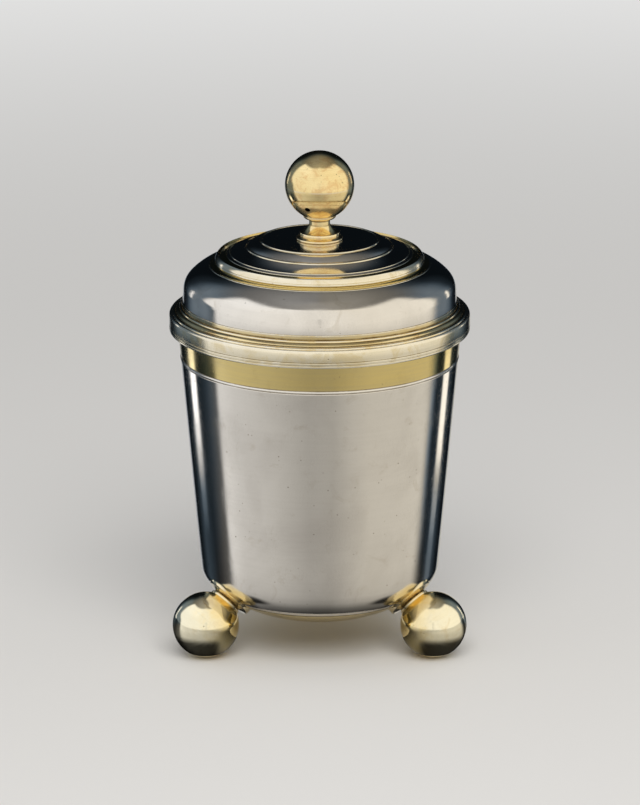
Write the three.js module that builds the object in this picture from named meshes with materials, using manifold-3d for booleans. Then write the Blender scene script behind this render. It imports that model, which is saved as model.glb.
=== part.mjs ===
// A covered silver beaker, partly gilt, on three hollow ball feet.
// Millimetres, +Z up. The origin is the centre of the beaker's flat underside, on its axis.
// The feet hang below the origin. The front, between two of the feet, looks along -Y.
import * as THREE from 'three';
import { mergeVertices } from 'three/addons/utils/BufferGeometryUtils.js';
import Module from 'manifold-3d';

const wasm = await Module();
wasm.setup();

const degrees = Math.PI / 180;
const quarterTurn = 90 * degrees;

// Fineness. The wide rings keep a multiple of 12 sides and the small ones a multiple
// of 4, so that every foot meets the same facets of the body.
const wideSides = 36;
const smallSides = 24;
const footSides = 16;
const boreSides = 12;
const cornerSteps = 5;
const undersideSteps = 3;
const blendSteps = 2;
const shoulderSteps = 4;
const slopeSteps = 3;
const ballSteps = 6;
const hollowSteps = 4;
const bowSteps = 4;

// Clearances
const solderGap = 0.15;
const seatGap = 0.3;
const bandClearance = 1.38;
const bezelClearance = 0.4;
const screwClearance = 0.3;

// Beaker body
const lipRadius = 50.92;
const lipHeight = 108.3;
const sideTaper = 4.92 * degrees;
const bodyWall = 1.2;
const cornerRadius = 10.16;
const cornerEnd = 52.2 * degrees;
const undersideRadius = 50.72;
const undersideEnd = 71 * degrees;
const baseBlendRadius = 14;

// Ball feet
const footAzimuths = { left: 210 * degrees, right: 330 * degrees, rear: 90 * degrees };
const footBallRadius = 11.9;
const footBallWall = 1;
const footContactAngle = 50.2 * degrees;
const footTilt = 42 * degrees;
const footWearDepth = 0.25;
const footVentRadius = 0.6;
const footVentDrop = 20 * degrees;

// Mount between each ball and the body: a bead, a neck and a spreading flange
const mountBore = 4.3;
const mountBeadRadius = 6.1;
const mountBeadHeight = 1.1;
const mountBeadBow = 0.5;
const mountNeckRadius = 5.25;
const mountNeckHeight = 0.25;
const mountNeckWeb = 0.3;
const mountFlangeRadius = 8.7;
const mountRimWeb = 0.8;
const mountFlareHollow = 0.1;
const mountEdge = 0.2;

// Rim band of the cover, with the flange that rests on the lip
const bandWall = 1.4;
const bandDrop = 5.16;
const bandBevel = 0.35;
const flangeThickness = 1.3;
const flangeLedge = 0.3;

// Bezel that centres the cover in the mouth
const bezelDepth = 9;
const bezelWall = 1;

// Moulding round the foot of the dome
const footMouldingFillet = 0.1;
const lowerBeadWidth = 1;
const lowerBeadHeight = 0.55;
const lowerBeadBow = 0.2;
const grooveWidth = 0.4;
const grooveHeight = 0.3;
const slopeBandWidth = 1.1;
const slopeBandHeight = 0.85;
const slopeBandBow = 0.08;
const upperBeadWidth = 0.85;
const upperBeadHeight = 0.75;
const upperBeadBow = 0.3;
const fasciaHeight = 1.6;
const footMouldingTop = 0.2;
const footMouldingBevel = 0.15;

// Dome of the cover, up to the fillet
const domeInset = 2.17;
const domeWall = 1.1;
const skirtHeight = 8.51;
const skirtInset = 0.177;
const skirtBow = 0.14;
const shoulderStart = 5 * degrees;
const shoulderRadius = 7;
const shoulderEnd = 45 * degrees;
const crownSlopeRadius = 21.5;
const crownSlopeEnd = 68 * degrees;

// Crown of the cover, from the fillet in to the plateau
const filletWidth = 2.4;
const filletRise = 0.8;
const filletHollow = 0.25;
const ledgeWidth = 1.15;
const riserHeight = 1.9;
const terraceWidth = 2.85;
const terraceRise = 0.8;
const stepWidth = 1.2;
const stepRise = 0.6;
const dishWidth = 6;
const dishRise = 2.1;
const dishHollow = 0.2;
const ovoloWidth = 4.7;
const ovoloRise = 2.5;
const ovoloBow = 0.35;
const edgeWireWidth = 0.7;
const edgeWireHeight = 0.2;

// Moulding on the crown's ledge
const crownMouldingWidth = 1.3;
const crownMouldingFoot = 0.8;
const crownMouldingHeight = 2.6;
const crownMouldingTop = 0.15;
const crownMouldingBow = 0.28;

// Finial
const baseRingRadius = 8.3;
const baseRingHeight = 1.4;
const baseRingEdge = 0.9;
const baseRingBow = 0.4;
const discRadius = 7;
const discHeight = 1.3;
const discBow = 0.15;
const discBevel = 0.3;
const waistHeight = 2.8;
const waistHollow = 0.3;
const neckRadius = 3.72;
const neckHeight = 1.6;
const neckFlare = 0.8;
const neckFlareHeight = 0.5;
const neckFlareHollow = 0.1;
const collarFootRadius = 4.4;
const collarHeight = 1.3;
const collarBow = 0.45;
const finialBallRadius = 12.3;
const finialBallWall = 1;
const finialMouthRadius = 5.95;
const finialBallBore = 3;
const ventRadius = 1;
const ventAzimuth = 245.6 * degrees;
const ventDrop = 33 * degrees;

// Fastening of the finial under the crown
const screwRadius = 1.6;
const screwReach = 4;
const screwTail = 1;
const washerRadius = 6;
const washerThickness = 0.8;
const nutWidth = 8;
const nutThickness = 3;

const silver = new THREE.MeshStandardMaterial({ color: 0xc9c4bb, metalness: 1, roughness: 0.24 });
const gilt = new THREE.MeshStandardMaterial({ color: 0xd6b873, metalness: 1, roughness: 0.22 });
const paleGilt = new THREE.MeshStandardMaterial({ color: 0xd9cfae, metalness: 1, roughness: 0.26 });
const wornBrass = new THREE.MeshStandardMaterial({ color: 0xa98a4e, metalness: 1, roughness: 0.4 });

// Points on an arc about a centre, both ends included.
function arc([x, z], radius, from, to, steps) {
  const points = [];
  for (let i = 0; i <= steps; i += 1) {
    const angle = from + ((to - from) * i) / steps;
    points.push([x + radius * Math.cos(angle), z + radius * Math.sin(angle)]);
  }
  return points;
}

// Points between two corners on an arc that bows out to the right of the way
// travelled, or to the left where the bow is negative.
function bowed([x, z], [toX, toZ], bow) {
  const [acrossX, acrossZ] = [toX - x, toZ - z];
  const halfAngle = 2 * Math.atan2(2 * bow, Math.hypot(acrossX, acrossZ));
  const points = [];
  for (let i = 1; i < bowSteps; i += 1) {
    const angle = halfAngle * ((2 * i) / bowSteps - 1);
    const along = (1 + Math.sin(angle) / Math.sin(halfAngle)) / 2;
    const out = (Math.cos(angle) - Math.cos(halfAngle)) / (2 * Math.sin(halfAngle));
    points.push([x + acrossX * along + acrossZ * out, z + acrossZ * along - acrossX * out]);
  }
  return points;
}

// An outline from corners of [radius, height], or [radius, height, bow] where the
// stretch that leads to the corner is bowed.
function outline(corners) {
  return corners.flatMap(([radius, height, bow], i) => {
    const corner = [radius, height];
    return bow ? [...bowed(corners[i - 1], corner, bow), corner] : [corner];
  });
}

// Area inside an outline, positive when it runs anticlockwise.
function signedArea(points) {
  return points.reduce((sum, [x, z], i) => {
    const [nextX, nextZ] = points[(i + 1) % points.length];
    return sum + (x * nextZ - nextX * z) / 2;
  }, 0);
}

// A closed mesh with shared vertices and no collapsed triangles.
function welded(geometry) {
  geometry.deleteAttribute('normal');
  geometry.deleteAttribute('uv');
  const merged = mergeVertices(geometry);
  const index = merged.index.array;
  const kept = [];
  for (let i = 0; i < index.length; i += 3) {
    const [a, b, c] = [index[i], index[i + 1], index[i + 2]];
    if (a !== b && b !== c && c !== a) kept.push(a, b, c);
  }
  merged.setIndex(kept);
  return merged;
}

// Turns an outline about the Z axis. One that starts and ends on the axis is left
// open there, and any other closes on itself.
function turned(profile, sides) {
  const points = profile.map(([radius, height]) => new THREE.Vector2(radius, height));
  if (signedArea(profile) < 0) points.reverse();
  const onAxis = points[0].x === 0 && points[points.length - 1].x === 0;
  if (!onAxis) points.push(points[0]);
  return welded(new THREE.LatheGeometry(points, sides).rotateX(quarterTurn));
}

function toSolid(geometry) {
  const vertProperties = new Float32Array(geometry.attributes.position.array);
  const triVerts = new Uint32Array(geometry.index.array);
  return new wasm.Manifold(new wasm.Mesh({ numProp: 3, vertProperties, triVerts }));
}

function toGeometry(solid) {
  const { vertProperties, triVerts } = solid.getMesh();
  const geometry = new THREE.BufferGeometry();
  geometry.setAttribute('position', new THREE.BufferAttribute(vertProperties, 3));
  geometry.setIndex(new THREE.BufferAttribute(triVerts, 1));
  return geometry;
}

function cut(geometry, ...tools) {
  return toGeometry(tools.reduce((left, tool) => left.subtract(toSolid(tool)), toSolid(geometry)));
}

function piece(name, geometry, material) {
  geometry.computeVertexNormals();
  const mesh = new THREE.Mesh(geometry, material);
  mesh.name = name;
  return mesh;
}

// Body: a tapering side, a rounded corner, a shallow curved underside and a flat base,
// each arc flowing into the next.
const cornerDrop = cornerRadius * (Math.sin(cornerEnd) - Math.sin(sideTaper));
const undersideDrop = undersideRadius * (Math.sin(undersideEnd) - Math.sin(cornerEnd));
const blendDrop = baseBlendRadius * (1 - Math.sin(undersideEnd));
const cornerTop = cornerDrop + undersideDrop + blendDrop;
const cornerCentre = [
  lipRadius - (lipHeight - cornerTop) * Math.tan(sideTaper) - cornerRadius * Math.cos(sideTaper),
  cornerTop + cornerRadius * Math.sin(sideTaper),
];
const undersideCentre = [
  cornerCentre[0] - (undersideRadius - cornerRadius) * Math.cos(cornerEnd),
  cornerCentre[1] + (undersideRadius - cornerRadius) * Math.sin(cornerEnd),
];
const blendCentre = [
  undersideCentre[0] + (undersideRadius - baseBlendRadius) * Math.cos(undersideEnd),
  baseBlendRadius,
];

// Radius of the body's side at a height, moved out square to the side by an offset.
function sideRadius(height, offset) {
  return lipRadius - (lipHeight - height) * Math.tan(sideTaper) + offset / Math.cos(sideTaper);
}

// The body's skin from the lip down to the axis, moved out by an offset.
function bodySkin(offset) {
  return [
    [sideRadius(lipHeight, offset), lipHeight],
    ...arc(cornerCentre, cornerRadius + offset, -sideTaper, -cornerEnd, cornerSteps),
    ...arc(undersideCentre, undersideRadius + offset, -cornerEnd, -undersideEnd, undersideSteps).slice(1),
    ...arc(blendCentre, baseBlendRadius + offset, -undersideEnd, -quarterTurn, blendSteps).slice(1),
    [0, -offset],
  ];
}

function beakerBody() {
  const profile = [...bodySkin(0), ...bodySkin(-bodyWall).reverse()];
  return piece('beaker_body', turned(profile, wideSides), silver);
}

// The point off the body's rounded corner or underside where its skin faces down by
// an angle, at a distance out from the skin.
function besideBody(angle, distance) {
  const onCorner = angle < cornerEnd;
  const [x, z] = onCorner ? cornerCentre : undersideCentre;
  const reach = distance + (onCorner ? cornerRadius : undersideRadius);
  return [x + reach * Math.cos(angle), z - reach * Math.sin(angle)];
}

// Feet. Each is built on the +X side of the body and then turned to its azimuth.
const [footReach, footHeight] = besideBody(footContactAngle, footBallRadius + solderGap);
const tableHeight = footHeight - footBallRadius + footWearDepth;

// Moves a shape from the ball's own axis to its place under the body.
function ontoFoot(geometry) {
  return geometry.rotateY(footTilt - quarterTurn).translate(footReach, 0, footHeight);
}

// Half of a hollow ball above a seam, with its pole on the axis.
function cap(radius, wall, seam) {
  const inner = radius - wall;
  const outside = arc([0, 0], radius, Math.asin(seam / radius), quarterTurn, ballSteps);
  const inside = arc([0, 0], inner, quarterTurn, Math.asin(seam / inner), hollowSteps);
  outside[ballSteps][0] = 0;
  inside[0][0] = 0;
  return [...outside, ...inside];
}

// A drill from a ball's middle out through its skin along +X, tipped down by an angle.
function ballDrill(radius, ballRadius, drop) {
  const drill = new THREE.CylinderGeometry(radius, radius, ballRadius, boreSides);
  return welded(drill.rotateZ(quarterTurn).translate(ballRadius, 0, 0).rotateY(drop));
}

// The half that faces the body has a vent towards the axis, low on its inner side.
function footBallInner(side) {
  const half = ontoFoot(turned(cap(footBallRadius, footBallWall, seatGap / 2), footSides));
  const drill = ballDrill(footVentRadius, footBallRadius, footVentDrop);
  drill.rotateZ(2 * quarterTurn).translate(footReach, 0, footHeight);
  return piece(`foot_${side}_ball_inner`, cut(half, drill), gilt);
}

// The half that stands on the table is worn flat there.
function footBallOuter(side) {
  const profile = cap(footBallRadius, footBallWall, seatGap / 2).map(([x, z]) => [x, -z]);
  const table = new THREE.BoxGeometry(3 * footBallRadius, 3 * footBallRadius, footBallRadius);
  table.translate(footReach, 0, tableHeight - footBallRadius / 2);
  const half = ontoFoot(turned(profile, footSides));
  return piece(`foot_${side}_ball_outer`, cut(half, welded(table)), gilt);
}

// How far along a foot's axis, from the ball's middle, a mount reaches the body's
// rounded corner at a radius from that axis.
function cornerLevel(radius) {
  const reach = footBallRadius + solderGap + cornerRadius;
  const lean = footContactAngle - footTilt;
  const offCentre = radius - reach * Math.sin(lean);
  return reach * Math.cos(lean) - Math.sqrt((cornerRadius + seatGap) ** 2 - offCentre ** 2);
}

// The mount's neck and rim lie a web's thickness under the body, and its blank reaches
// into the ball and the body, which are cut away from it.
function footMount(side) {
  const neck = cornerLevel(mountNeckRadius) - mountNeckWeb;
  const beadBottom = neck - mountNeckHeight - mountBeadHeight;
  const flareTop = cornerLevel(mountFlangeRadius) - mountRimWeb;
  const top = footBallRadius + mountFlangeRadius;
  const blank = turned(outline([
    [mountBore, beadBottom],
    [mountBeadRadius - mountBeadBow, beadBottom],
    [mountBeadRadius - mountBeadBow, beadBottom + mountBeadHeight, mountBeadBow],
    [mountNeckRadius, neck],
    [mountFlangeRadius - mountEdge, flareTop, -mountFlareHollow],
    [mountFlangeRadius, flareTop + mountEdge],
    [mountFlangeRadius, top],
    [mountBore, top],
  ]), footSides);
  const ballSpace = new THREE.SphereGeometry(footBallRadius + seatGap, 2 * footSides, footSides);
  const bodySpace = turned([[0, lipHeight], ...bodySkin(seatGap)], wideSides);
  const seated = cut(ontoFoot(blank), ontoFoot(welded(ballSpace)), bodySpace);
  return piece(`foot_${side}_mount`, seated, gilt);
}

function foot(side) {
  const group = new THREE.Group();
  group.add(footMount(side), footBallInner(side), footBallOuter(side));
  group.rotation.z = footAzimuths[side];
  return group;
}

// Cover. Its radii follow from the lip, and its heights follow one another up from it.
const flangeBottom = lipHeight + seatGap;
const flangeTop = flangeBottom + flangeThickness;
const bandInner = lipRadius + bandClearance;
const domeRadius = lipRadius - domeInset;

// L-shaped band: a skirt round the lip and a flange that bears on it.
function rimBand() {
  const outer = bandInner + bandWall;
  const flangeInner = domeRadius - domeWall - flangeLedge;
  const bottom = flangeBottom - bandDrop;
  return piece('cover_rim_band', turned([
    [flangeInner, flangeTop],
    [outer - bandBevel, flangeTop],
    [outer, flangeTop - bandBevel],
    [outer, bottom + bandBevel],
    [outer - bandBevel, bottom],
    [bandInner, bottom],
    [bandInner, flangeBottom],
    [flangeInner, flangeBottom],
  ], wideSides), paleGilt);
}

// Ring that drops inside the mouth and follows its taper.
function bezel() {
  const bottom = flangeBottom - bezelDepth;
  const upper = sideRadius(flangeBottom, -bodyWall) - bezelClearance;
  const lower = sideRadius(bottom, -bodyWall) - bezelClearance;
  return piece('cover_bezel', turned([
    [upper, flangeBottom],
    [lower, bottom],
    [lower - bezelWall, bottom],
    [upper - bezelWall, flangeBottom],
  ], wideSides), gilt);
}

// Moulding round the dome: a bead, a groove, a slope, a bead and an upright fascia.
function footMoulding() {
  const inside = domeRadius + solderGap;
  const corners = [[inside + footMouldingTop, flangeTop]];
  const widths = [lowerBeadWidth, grooveWidth, slopeBandWidth, upperBeadWidth];
  corners[0][0] += widths.reduce((sum, width) => sum + width);
  const climb = (inward, upward, bow) => {
    const [radius, height] = corners[corners.length - 1];
    corners.push([radius - inward, height + upward, bow]);
  };
  climb(0, footMouldingFillet);
  climb(lowerBeadWidth, lowerBeadHeight, lowerBeadBow);
  climb(grooveWidth, grooveHeight);
  climb(slopeBandWidth, slopeBandHeight, slopeBandBow);
  climb(upperBeadWidth, upperBeadHeight, upperBeadBow);
  climb(0, fasciaHeight);
  climb(footMouldingTop, footMouldingBevel);
  return piece('cover_foot_moulding', turned([...outline(corners), [inside, flangeTop]], wideSides), gilt);
}

// Landmarks of the dome, each [radius, height], in the order of its climb.
const skirtTop = [domeRadius - skirtInset, flangeTop + skirtHeight];
const shoulderCentre = [
  skirtTop[0] - shoulderRadius * Math.cos(shoulderStart),
  skirtTop[1] - shoulderRadius * Math.sin(shoulderStart),
];
const slopeCentre = [
  shoulderCentre[0] - (crownSlopeRadius - shoulderRadius) * Math.cos(shoulderEnd),
  shoulderCentre[1] - (crownSlopeRadius - shoulderRadius) * Math.sin(shoulderEnd),
];
const slopeTop = [
  slopeCentre[0] + crownSlopeRadius * Math.cos(crownSlopeEnd),
  slopeCentre[1] + crownSlopeRadius * Math.sin(crownSlopeEnd),
];
const ledgeOuter = [slopeTop[0] - filletWidth, slopeTop[1] + filletRise];
const ledgeInner = [ledgeOuter[0] - ledgeWidth, ledgeOuter[1]];
const terraceOuter = [ledgeInner[0], ledgeInner[1] + riserHeight];
const terraceInner = [terraceOuter[0] - terraceWidth, terraceOuter[1] + terraceRise];
const dishOuter = [terraceInner[0] - stepWidth, terraceInner[1] + stepRise];
const dishInner = [dishOuter[0] - dishWidth, dishOuter[1] + dishRise];
const ovoloInner = [dishInner[0] - ovoloWidth, dishInner[1] + ovoloRise];
const plateauHeight = ovoloInner[1];
const screwHole = screwRadius + screwClearance;

function domeOutside() {
  const wireTop = plateauHeight + edgeWireHeight;
  return outline([
    [domeRadius, flangeTop],
    [...skirtTop, skirtBow],
    ...arc(shoulderCentre, shoulderRadius, shoulderStart, shoulderEnd, shoulderSteps).slice(1),
    ...arc(slopeCentre, crownSlopeRadius, shoulderEnd, crownSlopeEnd, slopeSteps).slice(1),
    [...ledgeOuter, -filletHollow],
    ledgeInner,
    terraceOuter,
    terraceInner,
    dishOuter,
    [...dishInner, -dishHollow],
    [...ovoloInner, ovoloBow],
    [ovoloInner[0], wireTop],
    [ovoloInner[0] - edgeWireWidth, wireTop],
    [ovoloInner[0] - edgeWireWidth, plateauHeight],
    [screwHole, plateauHeight],
  ]);
}

// The inside follows the outside, a wall's thickness under it.
function domeInside() {
  const under = ([radius, height]) => [radius - domeWall, height - domeWall];
  const slope = arc(slopeCentre, crownSlopeRadius - domeWall, crownSlopeEnd, shoulderEnd, slopeSteps);
  const shoulderInside = shoulderRadius - domeWall;
  const shoulder = arc(shoulderCentre, shoulderInside, shoulderEnd, shoulderStart, shoulderSteps);
  return outline([
    [screwHole, plateauHeight - domeWall],
    under(ovoloInner),
    [...under(dishInner), -ovoloBow],
    [...under(dishOuter), dishHollow],
    under(terraceInner),
    under(terraceOuter),
    under(ledgeInner),
    ...slope,
    ...shoulder.slice(1),
    [domeRadius - domeWall, flangeTop, -skirtBow],
  ]);
}

function dome() {
  return piece('cover_dome', turned([...domeOutside(), ...domeInside()], wideSides), silver);
}

// Moulding round the crown's riser, on its ledge: an upright foot and a rounded slope.
function crownMoulding() {
  const inside = ledgeInner[0] + solderGap;
  const bottom = ledgeInner[1] + solderGap;
  const top = bottom + crownMouldingHeight;
  return piece('cover_crown_moulding', turned(outline([
    [inside, bottom],
    [inside + crownMouldingWidth, bottom],
    [inside + crownMouldingWidth, bottom + crownMouldingFoot],
    [inside + crownMouldingTop, top, crownMouldingBow],
    [inside, top],
  ]), wideSides), gilt);
}

// Finial, stacked on the plateau.
const stemBottom = plateauHeight + baseRingHeight;
const neckBottom = stemBottom + discHeight + waistHeight;
const collarBottom = neckBottom + neckHeight + neckFlareHeight;
const ballSeat = collarBottom + collarHeight;
const ballDrop = Math.sqrt(finialBallRadius ** 2 - finialMouthRadius ** 2);
const ballCentre = ballSeat + ballDrop;

function finialBaseRing() {
  const edge = baseRingRadius - baseRingBow;
  return piece('finial_base_ring', turned(outline([
    [screwHole, plateauHeight],
    [edge, plateauHeight],
    [edge, plateauHeight + baseRingEdge, baseRingBow],
    [discRadius + discBow, stemBottom],
    [screwHole, stemBottom],
  ]), smallSides), gilt);
}

// Spool-shaped stem with a blind bore for the screw.
function finialStem() {
  const boreTop = stemBottom + screwReach + seatGap;
  const discTop = stemBottom + discHeight;
  return piece('finial_stem', turned(outline([
    [screwHole, stemBottom],
    [discRadius, stemBottom],
    [discRadius, discTop, discBow],
    [discRadius - discBevel, discTop],
    [neckRadius, neckBottom, -waistHollow],
    [neckRadius, neckBottom + neckHeight],
    [neckRadius + neckFlare, collarBottom, -neckFlareHollow],
    [0, collarBottom],
    [0, boreTop],
    [screwHole, boreTop],
  ]), smallSides), gilt);
}

// Bead under the ball, as wide at its top as the ball's mouth.
function finialCollar() {
  return piece('finial_collar', turned(outline([
    [0, collarBottom],
    [collarFootRadius, collarBottom],
    [finialMouthRadius, ballSeat, collarBow],
    [0, ballSeat],
  ]), smallSides), gilt);
}

// Lower half of the ball: open on the collar, with a vent in its side.
function finialBallLower() {
  const inner = finialBallRadius - finialBallWall;
  const innerDrop = Math.min(ballDrop, Math.sqrt(inner ** 2 - finialBallBore ** 2));
  const inside = arc([0, ballCentre], inner, 0, -Math.asin(innerDrop / inner), hollowSteps);
  const mouthAngle = Math.acos(finialMouthRadius / finialBallRadius);
  const outside = arc([0, ballCentre], finialBallRadius, -mouthAngle, 0, ballSteps);
  const mouth = [inside[hollowSteps][0], ballSeat];
  const shell = turned([mouth, ...outside, ...inside], smallSides);
  const drill = ballDrill(ventRadius, finialBallRadius, ventDrop);
  drill.rotateZ(ventAzimuth).translate(0, 0, ballCentre);
  return piece('finial_ball_lower', cut(shell, drill), gilt);
}

function finialBallUpper() {
  const half = turned(cap(finialBallRadius, finialBallWall, 0), smallSides);
  return piece('finial_ball_upper', half.translate(0, 0, ballCentre), gilt);
}

// Fastening: a screw through the crown, with a washer and a square nut under it.
const washerTop = plateauHeight - domeWall;
const nutTop = washerTop - washerThickness;
const nutBottom = nutTop - nutThickness;

function finialScrew() {
  return piece('finial_screw', turned([
    [0, nutBottom - screwTail],
    [screwRadius, nutBottom - screwTail],
    [screwRadius, stemBottom + screwReach],
    [0, stemBottom + screwReach],
  ], boreSides), wornBrass);
}

function finialWasher() {
  return piece('finial_washer', turned([
    [screwHole, nutTop],
    [washerRadius, nutTop],
    [washerRadius, washerTop],
    [screwHole, washerTop],
  ], smallSides), wornBrass);
}

function finialNut() {
  const half = nutWidth / 2;
  const square = new THREE.Shape();
  square.moveTo(-half, -half).lineTo(half, -half).lineTo(half, half).lineTo(-half, half).closePath();
  square.holes.push(new THREE.Path().absarc(0, 0, screwHole, 0, 4 * quarterTurn));
  const options = { depth: nutThickness, bevelEnabled: false, curveSegments: boreSides };
  const nut = new THREE.ExtrudeGeometry(square, options).translate(0, 0, nutBottom);
  return piece('finial_nut', welded(nut), wornBrass);
}

const beaker = new THREE.Group();
beaker.add(beakerBody(), ...Object.keys(footAzimuths).map(foot));

const finial = new THREE.Group();
finial.add(
  finialBaseRing(),
  finialStem(),
  finialCollar(),
  finialBallLower(),
  finialBallUpper(),
  finialScrew(),
  finialWasher(),
  finialNut(),
);

const cover = new THREE.Group();
cover.add(rimBand(), bezel(), footMoulding(), dome(), crownMoulding(), finial);

const coveredBeaker = new THREE.Group();
coveredBeaker.add(beaker, cover);

export default coveredBeaker;
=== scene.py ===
import math

import bmesh
import bpy
from mathutils import Matrix, Vector
from mathutils.bvhtree import BVHTree


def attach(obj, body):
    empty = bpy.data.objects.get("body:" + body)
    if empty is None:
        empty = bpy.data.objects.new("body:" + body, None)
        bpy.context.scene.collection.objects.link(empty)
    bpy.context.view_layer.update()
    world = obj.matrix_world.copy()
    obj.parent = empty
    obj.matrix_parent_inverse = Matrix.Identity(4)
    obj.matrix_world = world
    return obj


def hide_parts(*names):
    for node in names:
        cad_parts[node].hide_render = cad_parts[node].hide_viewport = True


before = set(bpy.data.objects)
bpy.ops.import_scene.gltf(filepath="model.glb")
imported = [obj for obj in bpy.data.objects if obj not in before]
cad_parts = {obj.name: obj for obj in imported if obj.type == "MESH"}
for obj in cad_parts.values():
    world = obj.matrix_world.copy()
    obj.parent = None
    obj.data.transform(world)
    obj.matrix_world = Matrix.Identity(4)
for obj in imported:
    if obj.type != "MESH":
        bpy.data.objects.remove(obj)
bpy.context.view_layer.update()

# A covered silver beaker, partly gilt, on three hollow ball feet. Profiles are in
# millimetres: radius from the axis, and height above the beaker's flat underside.
mm = 0.001
scene = bpy.context.scene


# Nodes. A value is a number, a vector or another node's output.

def made(tree, kind, inputs=None, output=0, **settings):
    node = tree.nodes.new(kind)
    for key, value in settings.items():
        setattr(node, key, value)
    for socket, value in (inputs or {}).items():
        if isinstance(value, bpy.types.NodeSocket):
            tree.links.new(value, node.inputs[socket])
        else:
            node.inputs[socket].default_value = value
    return node.outputs[output]


def calc(tree, operation, *values):
    return made(tree, "ShaderNodeMath", dict(enumerate(values)), operation=operation)


def times(tree, first, second):
    return calc(tree, "MULTIPLY", first, second)


def plus(tree, first, second):
    return calc(tree, "ADD", first, second)


def minus(tree, first, second):
    return calc(tree, "SUBTRACT", first, second)


def joined(tree, x, y, z=0.0):
    return made(tree, "ShaderNodeCombineXYZ", {0: x, 1: y, 2: z})


def apart(tree, vector):
    node = tree.nodes.new("ShaderNodeSeparateXYZ")
    tree.links.new(vector, node.inputs[0])
    return node.outputs


def lengthOf(tree, vector):
    return made(tree, "ShaderNodeVectorMath", {0: vector}, 1, operation="LENGTH")


def emptyMaterial(name):
    material = bpy.data.materials.new(name)
    material.use_nodes = True
    material.node_tree.nodes.clear()
    return material


def shadedBy(tree, shader, kind="ShaderNodeOutputMaterial"):
    tree.links.new(shader, tree.nodes.new(kind).inputs[0])


# Profiles

def arc(centre, radius, start, end, steps):
    points = []
    for i in range(steps + 1):
        angle = math.radians(start + (end - start) * i / steps)
        points.append((centre[0] + radius * math.cos(angle), centre[1] + radius * math.sin(angle)))
    return points


# Points between two corners on an arc that bows out to the right of the way travelled.
def bowed(start, end, bow, steps):
    acrossX, acrossZ = end[0] - start[0], end[1] - start[1]
    half = 2 * math.atan2(2 * bow, math.hypot(acrossX, acrossZ))
    points = []
    for i in range(1, steps):
        angle = half * (2 * i / steps - 1)
        along = (1 + math.sin(angle) / math.sin(half)) / 2
        out = (math.cos(angle) - math.cos(half)) / (2 * math.sin(half))
        points.append((start[0] + acrossX * along + acrossZ * out,
                       start[1] + acrossZ * along - acrossX * out))
    return points


# Corners are (radius, height), or (radius, height, bow) after a bowed stretch.
def outline(corners, steps=12):
    points = []
    for corner in corners:
        if len(corner) == 3 and corner[2]:
            points += bowed(points[-1], corner[:2], corner[2], steps)
        points.append((corner[0], corner[1]))
    return points


def toward(point, other, reach):
    share = reach / max(math.dist(point, other), 1e-9)
    return (point[0] + (other[0] - point[0]) * share, point[1] + (other[1] - point[1]) * share)


# Rounding: the turn in degrees that counts as a corner, the most of a side that a round
# takes, its steps, and the point beside it that keeps it narrow, in reaches
rounding = {"fromTurn": 24, "mostOfSide": 0.35, "steps": 4, "besideFrom": 5, "besideAt": 2}


# Rounds each sharp corner a little.
def eased(points, ease, closed=True):
    count = len(points)
    result = []
    for i, point in enumerate(points):
        before, after = points[i - 1], points[(i + 1) % count]
        if not closed and i in (0, count - 1):
            result.append(point)
            continue
        way = math.atan2(point[1] - before[1], point[0] - before[0])
        nextWay = math.atan2(after[1] - point[1], after[0] - point[0])
        turn = abs((nextWay - way + math.pi) % (2 * math.pi) - math.pi)
        if turn < math.radians(rounding["fromTurn"]):
            result.append(point)
            continue
        back, ahead = math.dist(point, before), math.dist(point, after)
        reach = min(ease, rounding["mostOfSide"] * back, rounding["mostOfSide"] * ahead)
        beside = rounding["besideAt"] * reach
        first, last = toward(point, before, reach), toward(point, after, reach)
        if back > rounding["besideFrom"] * reach:
            result.append(toward(point, before, beside))
        for step in range(rounding["steps"] + 1):
            t = step / rounding["steps"]
            result.append(tuple((1 - t) ** 2 * first[k] + 2 * t * (1 - t) * point[k] + t * t * last[k]
                                for k in (0, 1)))
        if ahead > rounding["besideFrom"] * reach:
            result.append(toward(point, after, beside))
    return result


# Adds points so that no stretch is longer than a step.
def filled(points, longest, closed=True):
    result = []
    ends = points[1:] + (points[:1] if closed else [])
    for start, end in zip(points, ends):
        result.append(start)
        parts = math.ceil(math.dist(start, end) / longest)
        for k in range(1, parts):
            result.append(toward(start, end, math.dist(start, end) * k / parts))
    return result if closed else result + points[-1:]


def lengthsAlong(points):
    lengths = [0]
    for start, end in zip(points, points[1:]):
        lengths.append(lengths[-1] + math.dist(start, end))
    return lengths


# A groove's section, in widths across and depths down, and how far it clears the outline
grooveShape = ((-0.8, 0), (-0.5, 0), (-0.38, 0.3), (-0.2, 0.85), (0, 1), (0.2, 0.85), (0.38, 0.3),
               (0.5, 0), (0.8, 0))
grooveClear = 0.9


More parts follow.
